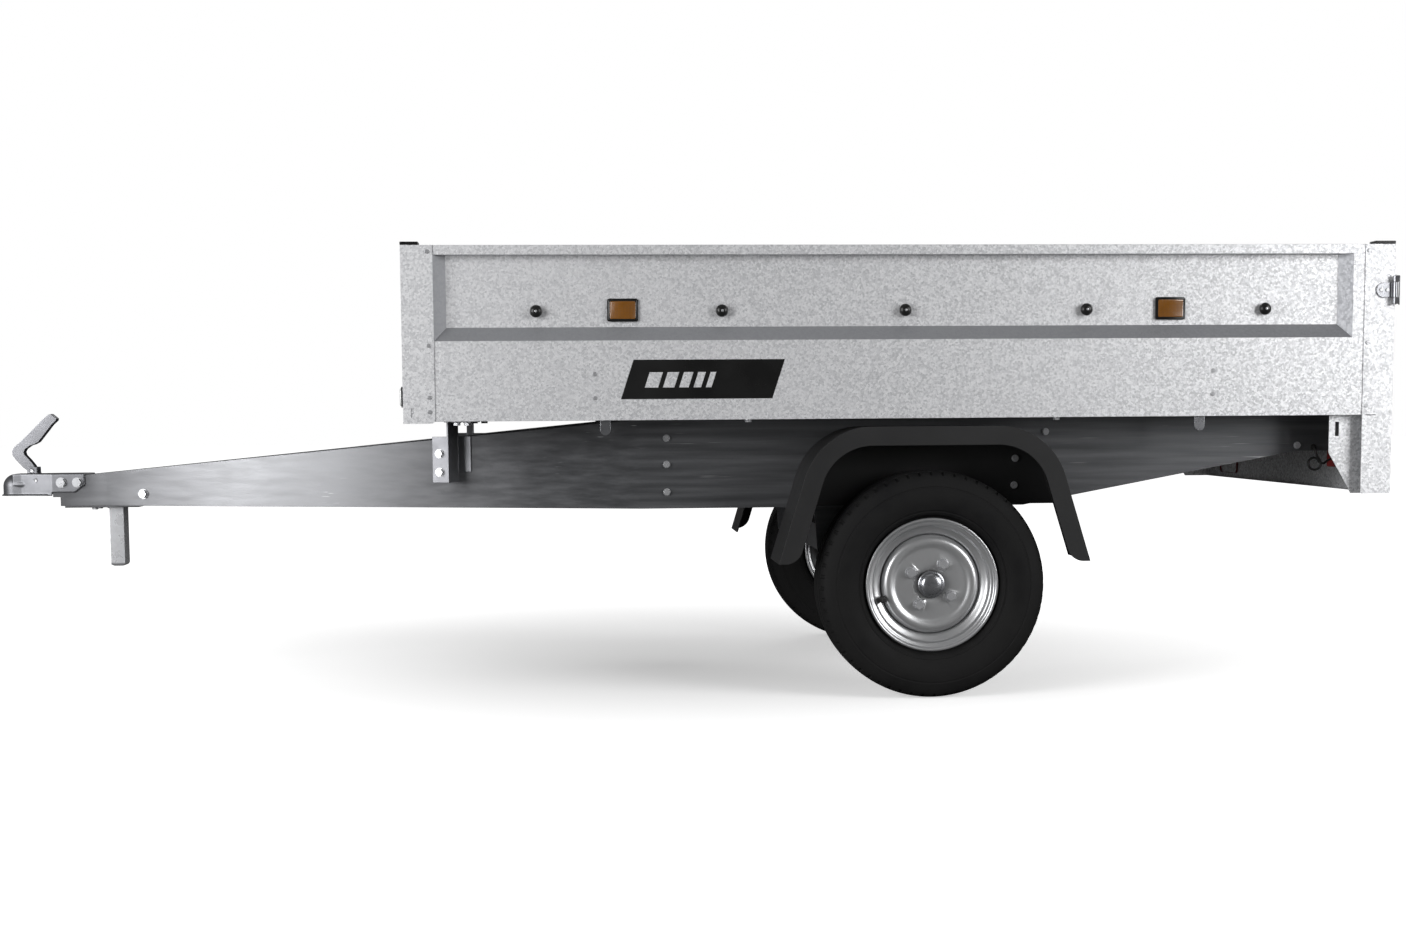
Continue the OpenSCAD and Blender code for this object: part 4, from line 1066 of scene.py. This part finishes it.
def fender(node, name):
    obj = copied(node, name)
    low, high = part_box(node)
    middle_x = (low.x + high.x) / 2
    outer_y = high.y if high.y > 0 else low.y

    def foot_corner(a, b):
        on_lip = min(abs(a.y - outer_y), abs(b.y - outer_y)) < 0.1 * MM
        inner = abs(a.x - middle_x) < (high.x - low.x) / 2 - 20 * MM
        return runs_along_y(a, b) and abs(a.y - b.y) > MM and on_lip and inner and a.z < low.z + MM

    wide_round(obj, foot_corner, 26 * MM, 8)
    return settle(rounded(obj, 1.1 * MM, 3, 30), node, finishes["fender_plastic"])


for hand in ("left", "right"):
    fender("fender_" + hand, "mudguard_" + hand)

# %% [markdown]
# ## The folded sheet of the box
# The walls, the corner posts, the rear lamp panel and the tailgate are 1.2 to 2 mm
# sheet. Their edges are rounded by a fraction of the thickness, and castings and
# plastic caps by more. Each width below is in mm. A few nodes take a finish other
# than their slot's.

# %% Sheet parts
EDGE_WIDTHS = {
    0.5: ("side_left", "side_right", "front_panel", "tailgate", "gate_hinges", "sill_hinges", "frame_bolts"),
    0.6: ("lamp_panel", "cross_members", "tie_down_tabs", "latch_brackets"),
    0.7: ("rail_left", "rail_right", "rivets"),
    0.8: ("nose_plate", "latch_lever_left", "latch_lever_right"),
    0.9: ("riser_brackets",),
    1.0: ("axle_tube", "hub_left", "hub_right"),
    1.6: ("post_caps",),
    2.5: ("arm_left", "arm_right"),
}
OTHER_FINISH = {"frame_bolts": "bright_zinc", "rivets": "bright_zinc", "riser_brackets": "stamped_zinc"}
for width, members in EDGE_WIDTHS.items():
    for node in members:
        finish = finishes[OTHER_FINISH.get(node, slot_of_node[node])]
        settle(rounded(copied(node, node + "_piece"), width * MM), node, finish)
print("sheet parts rounded:", sum(len(members) for members in EDGE_WIDTHS.values()))

# %% [markdown]
# The front posts stand 4 mm below the wall, and the lower corner of each is cut
# round where it meets the wall.

# %% Corner posts
posts = copied("corner_posts", "corner_posts_piece")
post_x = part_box("corner_posts")[0].x
front_foot_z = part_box("side_left")[0].z - 4 * MM


def post_corner(a, b):
    """The bottom corner of a front post's side leg, away from the box's corner."""
    at_foot = abs(a.z - front_foot_z) < 0.5 * MM
    return runs_along_y(a, b) and at_foot and post_x + 60 * MM < a.x < post_x + 70 * MM


wide_round(posts, post_corner, 9 * MM, 5)
settle(rounded(posts, 0.7 * MM), "corner_posts", finishes["spangled_sheet"])

# %% [markdown]
# ## The coupling
# The ball coupling is a deep pressing: a cup over the towing ball, a neck with a
# long bead along each flank, and cheeks that are bolted to the rails. Pressed
# shapes have no sharp edge anywhere. So the plain solid is remeshed with small
# even cells and smoothed, which rounds each edge as a press does, and the beads
# are pushed out of its flanks before that.

# %% Coupling housing
BEAD_HALF = (36 * MM, 3.2 * MM, 6 * MM)
house_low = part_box("coupling_housing")[0]
housing = copied("coupling_housing", "coupling_shell")
beads = []
for side in (-1, 1):
    nothing()
    spot = (house_low.x + 66 * MM, side * 28.2 * MM, house_low.z + 27 * MM)
    bpy.ops.mesh.primitive_uv_sphere_add(segments=24, ring_count=12, radius=1.0, location=spot)
    beads.append(bpy.context.object)
    beads[-1].scale = BEAD_HALF
    settle_place()
housing = joined("coupling_shell", [housing, *beads])
apply(housing, "REMESH", mode="VOXEL", voxel_size=1.25 * MM)
apply(housing, "SMOOTH", factor=0.5, iterations=6)
only(housing)
bpy.ops.object.shade_smooth()
settle(housing, "coupling_housing", finishes["stamped_zinc"])
print("housing faces:", len(housing.data.polygons))

# %% [markdown]
# ## The coupling handle
# The handle is stamped from sheet into a channel, with a kneed shape: a short leg
# up from the pivot, a round elbow, and a grip that swells in its middle. Its two
# cheeks, its back and its tip are outlines, each filled, pulled to its width and
# rounded. Near the pivot the outline stays close to the pin, so that the handle
# turns clear of the housing's top.

# %% Coupling handle
handle_joint = next(j for j in frame["joints"] if j["name"] == "handle_turn")
pivot = Vector(handle_joint["pos_m"])
CHEEK = ((3.2, -3.8), (8, 2.5), (3, 13), (-8, 27), (-17, 37), (-19, 44), (-15, 51), (-4, 59), (6, 62),
         (15, 67), (24, 78), (36, 93), (47, 107), (58, 117), (59, 122), (46, 132), (40, 131), (26, 119),
         (8, 101), (-8, 85), (-24, 70), (-40, 56), (-46, 47), (-45, 36), (-38, 26), (-22, 8), (-9, -2),
         (-3.6, -5))
BACK = ((-3.6, -5), (-9, -2), (-22, 8), (-38, 26), (-45, 36), (-46, 47), (-40, 56), (-24, 70), (-8, 85),
        (8, 101), (26, 119), (40, 131), (46, 132), (44, 128), (41, 127.5), (28, 116), (10, 98), (-6, 82),
        (-22, 67), (-37, 54), (-42, 46), (-41, 37), (-35, 28.5), (-20, 11), (-8, -1.5), (-3, -3))
TIP = ((59, 122), (46, 133), (43, 129), (55, 118))


def plate(name, outline, start, thickness):
    """An outline in X and Z about the pivot, from start across Y, all in mm."""
    points = [pivot + Vector((x, start, z)) * MM for x, z in outline]
    return pulled(name, points, (0, thickness * MM, 0))


stamping = joined("handle_stamping", [
    plate("cheek_near", CHEEK, -12, 2.4), plate("cheek_far", CHEEK, 9.6, 2.4),
    plate("back", BACK, -11.6, 23.2), plate("tip", TIP, -11.6, 23.2),
])
rounded(stamping, 0.8 * MM, 2, 25)
settle(stamping, "coupling_handle", finishes["stamped_zinc"])
print("handle faces:", len(stamping.data.polygons))

# %% [markdown]
# ## Wheel fittings
# Four hexagon bolts with a wide seat hold each wheel. A domed steel cap closes
# the hub, and a rubber valve with a screwed cap leans out of the rim's well.

# %% Bolts, caps and valves
SEAT_DEPTH = 12 * MM
SEAT, HEXAGON = (40, 12.5, -1.0, 4.0), (6, 10.6, 2.0, 10.0)
DOME = ((0, 14), (9, 13.7), (17, 12.4), (22.5, 9.6), (24.6, 6.2), (25.2, 3.6), (27.6, 3.2), (28.6, 2.2),
        (28.6, 0), (0, 0))
STEM = ((0, 0), (8, 0), (8, 3), (6.2, 5), (5.2, 8), (4.6, 16), (4.4, 17), (4.7, 17.6), (4.7, 25),
        (4.0, 26.4), (0, 26.6))


def drum(sides, radius, depth, place, turn):
    """A cylinder or prism with its place in its mesh; radius and depth in mm."""
    nothing()
    bpy.ops.mesh.primitive_cylinder_add(
        vertices=sides, radius=radius * MM, depth=depth * MM, rotation=turn, location=place)
    settle_place()
    return bpy.context.object


def hex_bolts(node, name):
    low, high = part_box(node)
    centre = axle_centre(node)
    side = outwards(centre)
    seat_y = (high.y if side > 0 else -low.y) - SEAT_DEPTH
    pieces = []
    for angle in BOLT_ANGLES:
        spot = bolt_place(centre, angle)
        for sides, radius, start, height in (SEAT, HEXAGON):
            y = side * (seat_y + (start + height / 2) * MM)
            pieces.append(drum(sides, radius, height, (spot.x, y, spot.z), (math.pi / 2, 0, 0)))
    settle(rounded(joined(name, pieces), 1.0 * MM, 2, 30), node, finishes["bright_zinc"])


def hub_cap(node, name):
    low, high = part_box(node)
    centre = axle_centre(node)
    side = outwards(centre)
    centre.y = low.y if side > 0 else high.y
    cap = turned(name, centre, facing(side, DOME), 72)
    settle(smooth(cap, 38), node, finishes[slot_of_node[node]])


def valve(node, name):
    foot, rim_centre = axle_centre(node), axle_centre(node.replace("valve", "rim"))
    side = outwards(rim_centre)
    foot.y = rim_centre.y + side * 33 * MM
    settle(smooth(turned(name, foot, facing(side, STEM), 32), 38), node, finishes["black_rubber"])


for hand in ("left", "right"):
    hex_bolts("wheel_bolts_" + hand, "hex_bolts_" + hand)
    hub_cap("dust_cap_" + hand, "hub_cap_" + hand)
    valve("valve_" + hand, "valve_stem_" + hand)
print("bolts on each wheel:", len(BOLT_ANGLES))

# %% [markdown]
# ## Fittings of the box
# Five mushroom knobs on each side take the cord of a cover. Each is a stem with
# a domed head and a small bright rivet in its middle. One side is modelled, and
# the other is its mirrored copy.

# %% Knobs
KNOB_R = 12 * MM
KNOBS = 5
HEAD = ((0, 0), (6.4, 0), (6.0, 1.2), (6.0, 6), (11.2, 6.4), (12.9, 7.8), (13.2, 9.6), (11.6, 13.4),
        (8.0, 16.3), (3.8, 17.4), (0, 17.5))
DOT = ((0, 17), (2.6, 17), (2.6, 17.6), (1.6, 18), (0, 18.1))
knob_low, knob_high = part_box("cover_knobs")
pitch = (knob_high.x - knob_low.x - 2 * KNOB_R) / (KNOBS - 1)


def both_sides(name, pieces):
    """The pieces and their mirrored copies on the other side, as one object."""
    obj = joined(name, pieces)
    return joined(name, [obj, mirrored(obj, name + "_twin")])


def extra(obj, slot, finish=None):
    """Gives a piece with no node of its own its finish; it rides on the chassis."""
    obj.data.materials.clear()
    obj.data.materials.append(finishes[finish or slot])
    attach(obj, "chassis")
    return obj


heads, dots = [], []
for i in range(KNOBS):
    spot = (knob_low.x + KNOB_R + i * pitch, knob_high.y - 18 * MM, (knob_low.z + knob_high.z) / 2)
    heads.append(turned("knob", spot, HEAD, 40))
    dots.append(turned("dot", spot, DOT, 24))
settle(smooth(both_sides("mushroom_knobs", heads), 42), "cover_knobs", finishes["black_plastic"])
extra(smooth(both_sides("knob_rivets", dots), 42), "zinc_plated", "bright_zinc")
print("knobs:", 2 * KNOBS)

# %% [markdown]
# Beside the knobs sit two amber reflectors in dark frames, and a pale marker
# stands on each front corner. All are flat boxes with large round corners, which
# the tail lamps need too, so they come from one function.

# %% Reflectors and markers
REFLECTOR = 65 * MM
FRAME = Vector((5.5, 0, 5.5)) * MM


def pad(low, high, axis, corner, edge):
    """A box with large round corners seen along one axis, and fine edges, in mm."""

    def along_axis(a, b):
        return abs((b - a)[axis]) > 0.9 * (b - a).length

    obj = wide_round(box_at(low, high), along_axis, corner * MM, 5)
    return rounded(obj, edge * MM, 2, 40)


amber_low, amber_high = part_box("amber_reflectors")
frames, lenses = [], []
for x in (amber_low.x, amber_high.x - REFLECTOR):
    low = Vector((x, amber_high.y - 8 * MM, amber_low.z))
    high = Vector((x + REFLECTOR, amber_high.y, amber_high.z))
    frames.append(pad(low, high - Vector((0, 2.2 * MM, 0)), 1, 5, 1.0))
    lenses.append(pad(low + FRAME + Vector((0, 2 * MM, 0)), high - FRAME, 1, 3, 1.2))
settle(both_sides("amber_prisms", lenses), "amber_reflectors", finishes["amber_lens"])
extra(both_sides("reflector_frames", frames), "black_plastic")

mark_low, mark_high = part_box("front_markers")
near = Vector((mark_low.x, mark_high.y - 34 * MM, mark_low.z))
base = pad(near + Vector((4.5 * MM, 0, 0)), mark_high, 0, 4, 0.8)
glass = pad(near + Vector((0, 3, 3)) * MM, mark_high - Vector((1.5, 3, 3)) * MM, 0, 5, 2.2)
settle(both_sides("marker_glass", [glass]), "front_markers", finishes["white_lens"])
extra(both_sides("marker_base", [base]), "black_plastic")
print("reflectors:", 2 * len(lenses), "markers: 2")

# %% [markdown]
# ## Tail lamps
# Each lamp is a red tub with three windows behind one smooth edge: amber on the
# outer side for turning, red for tail and stop, and a clear one for the plate. A
# triangular reflector stands in the middle, as trailers must show.

# %% Tail lamps
MARGIN = 5 * MM
lamp_face_low, lamp_face_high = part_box("lamp_lenses")
face_x, foot_z, head_z = lamp_face_low.x, lamp_face_low.z, lamp_face_high.z
outer_y = lamp_face_high.y
inner_y = outer_y - 124 * MM
triangle_place = (face_x + 8 * MM, inner_y + 44 * MM, (foot_z + head_z) / 2 + 8 * MM)


def window(start_y, end_y, start_z, end_z, corner):
    """A lens that stands 2 mm proud of the tub."""
    return pad((face_x + 3 * MM, start_y, start_z), (face_x + 7 * MM, end_y, end_z), 0, corner, 1.0)


tub = pad((face_x, inner_y, foot_z), (face_x + 5 * MM, outer_y, head_z), 0, 12, 1.2)
amber = window(outer_y - 38 * MM, outer_y - MARGIN, foot_z + MARGIN, head_z - MARGIN, 8)
clear = window(inner_y + MARGIN, inner_y + 84 * MM, foot_z + MARGIN, foot_z + 25 * MM, 7)
red = window(inner_y + MARGIN, inner_y + 84 * MM, foot_z + 27 * MM, head_z - MARGIN, 8)
triangle = rounded(drum(3, 30, 3, triangle_place, (math.pi / 2, 0, math.pi / 2)), 0.8 * MM, 2, 30)
settle(both_sides("tail_red", [red, triangle]), "lamp_lenses", finishes["red_lens"])
extra(both_sides("tail_tub", [tub]), "red_housing")
extra(both_sides("tail_amber", [amber]), "amber_lens")
extra(both_sides("tail_clear", [clear]), "white_lens")
for node, width in (("plate_holder", 1.2), ("lamp_bodies", 3.0), ("grommets", 0.8)):
    settle(rounded(copied(node, node + "_piece"), width * MM), node, finishes[slot_of_node[node]])
print("tail lamps built")

# %% [markdown]
# ## The parking leg
# The leg is a plain channel whose foot is rounded off. The edges across its foot
# are bevelled wide and everything else finely.

# %% Parking leg
leg = copied("parking_leg", "leg_channel")
leg_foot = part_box("parking_leg")[0].z


def foot_edge(a, b):
    return runs_along_y(a, b) and a.z < leg_foot + 0.5 * MM


wide_round(leg, foot_edge, 8 * MM, 6)
settle(rounded(leg, 0.8 * MM), "parking_leg", finishes["bright_zinc"])

# %% [markdown]
# ## The label
# The left side carries a label: a black film, cut as a leaning block and crossed
# by a plain pattern of gaps, through which the sheet shows. It says nothing.

# %% Label
FILM_T = 0.15 * MM
LABEL_FOOT, LABEL_LENGTH = 44, 318
LEAN = 27 / 82
WHOLE = ((0, LABEL_LENGTH),)
BARS = ((0, 42), (70, 80), (104, 114), (134, 144), (160, 170), (182, LABEL_LENGTH))
ROWS = ((LABEL_FOOT, 68, WHOLE), (68, 100, BARS), (100, 126, WHOLE))
side_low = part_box("side_left")[0]
label_start = side_low.x + 450 * MM


def on_wall(x, z):
    """A point of the label, leaning, from mm along it and mm above the wall's foot."""
    lean = x + LEAN * (z - LABEL_FOOT)
    return Vector((label_start + lean * MM, side_low.y, side_low.z + z * MM))


films = []
for foot, top, spans in ROWS:
    for start, end in spans:
        corners = [on_wall(start, foot), on_wall(end, foot), on_wall(end, top), on_wall(start, top)]
        films.append(pulled("film", corners, (0, -FILM_T, 0)))
extra(joined("label_film", films), "black_plastic")
print("label pieces:", len(films))

# %% Finish
bpy.context.view_layer.update()
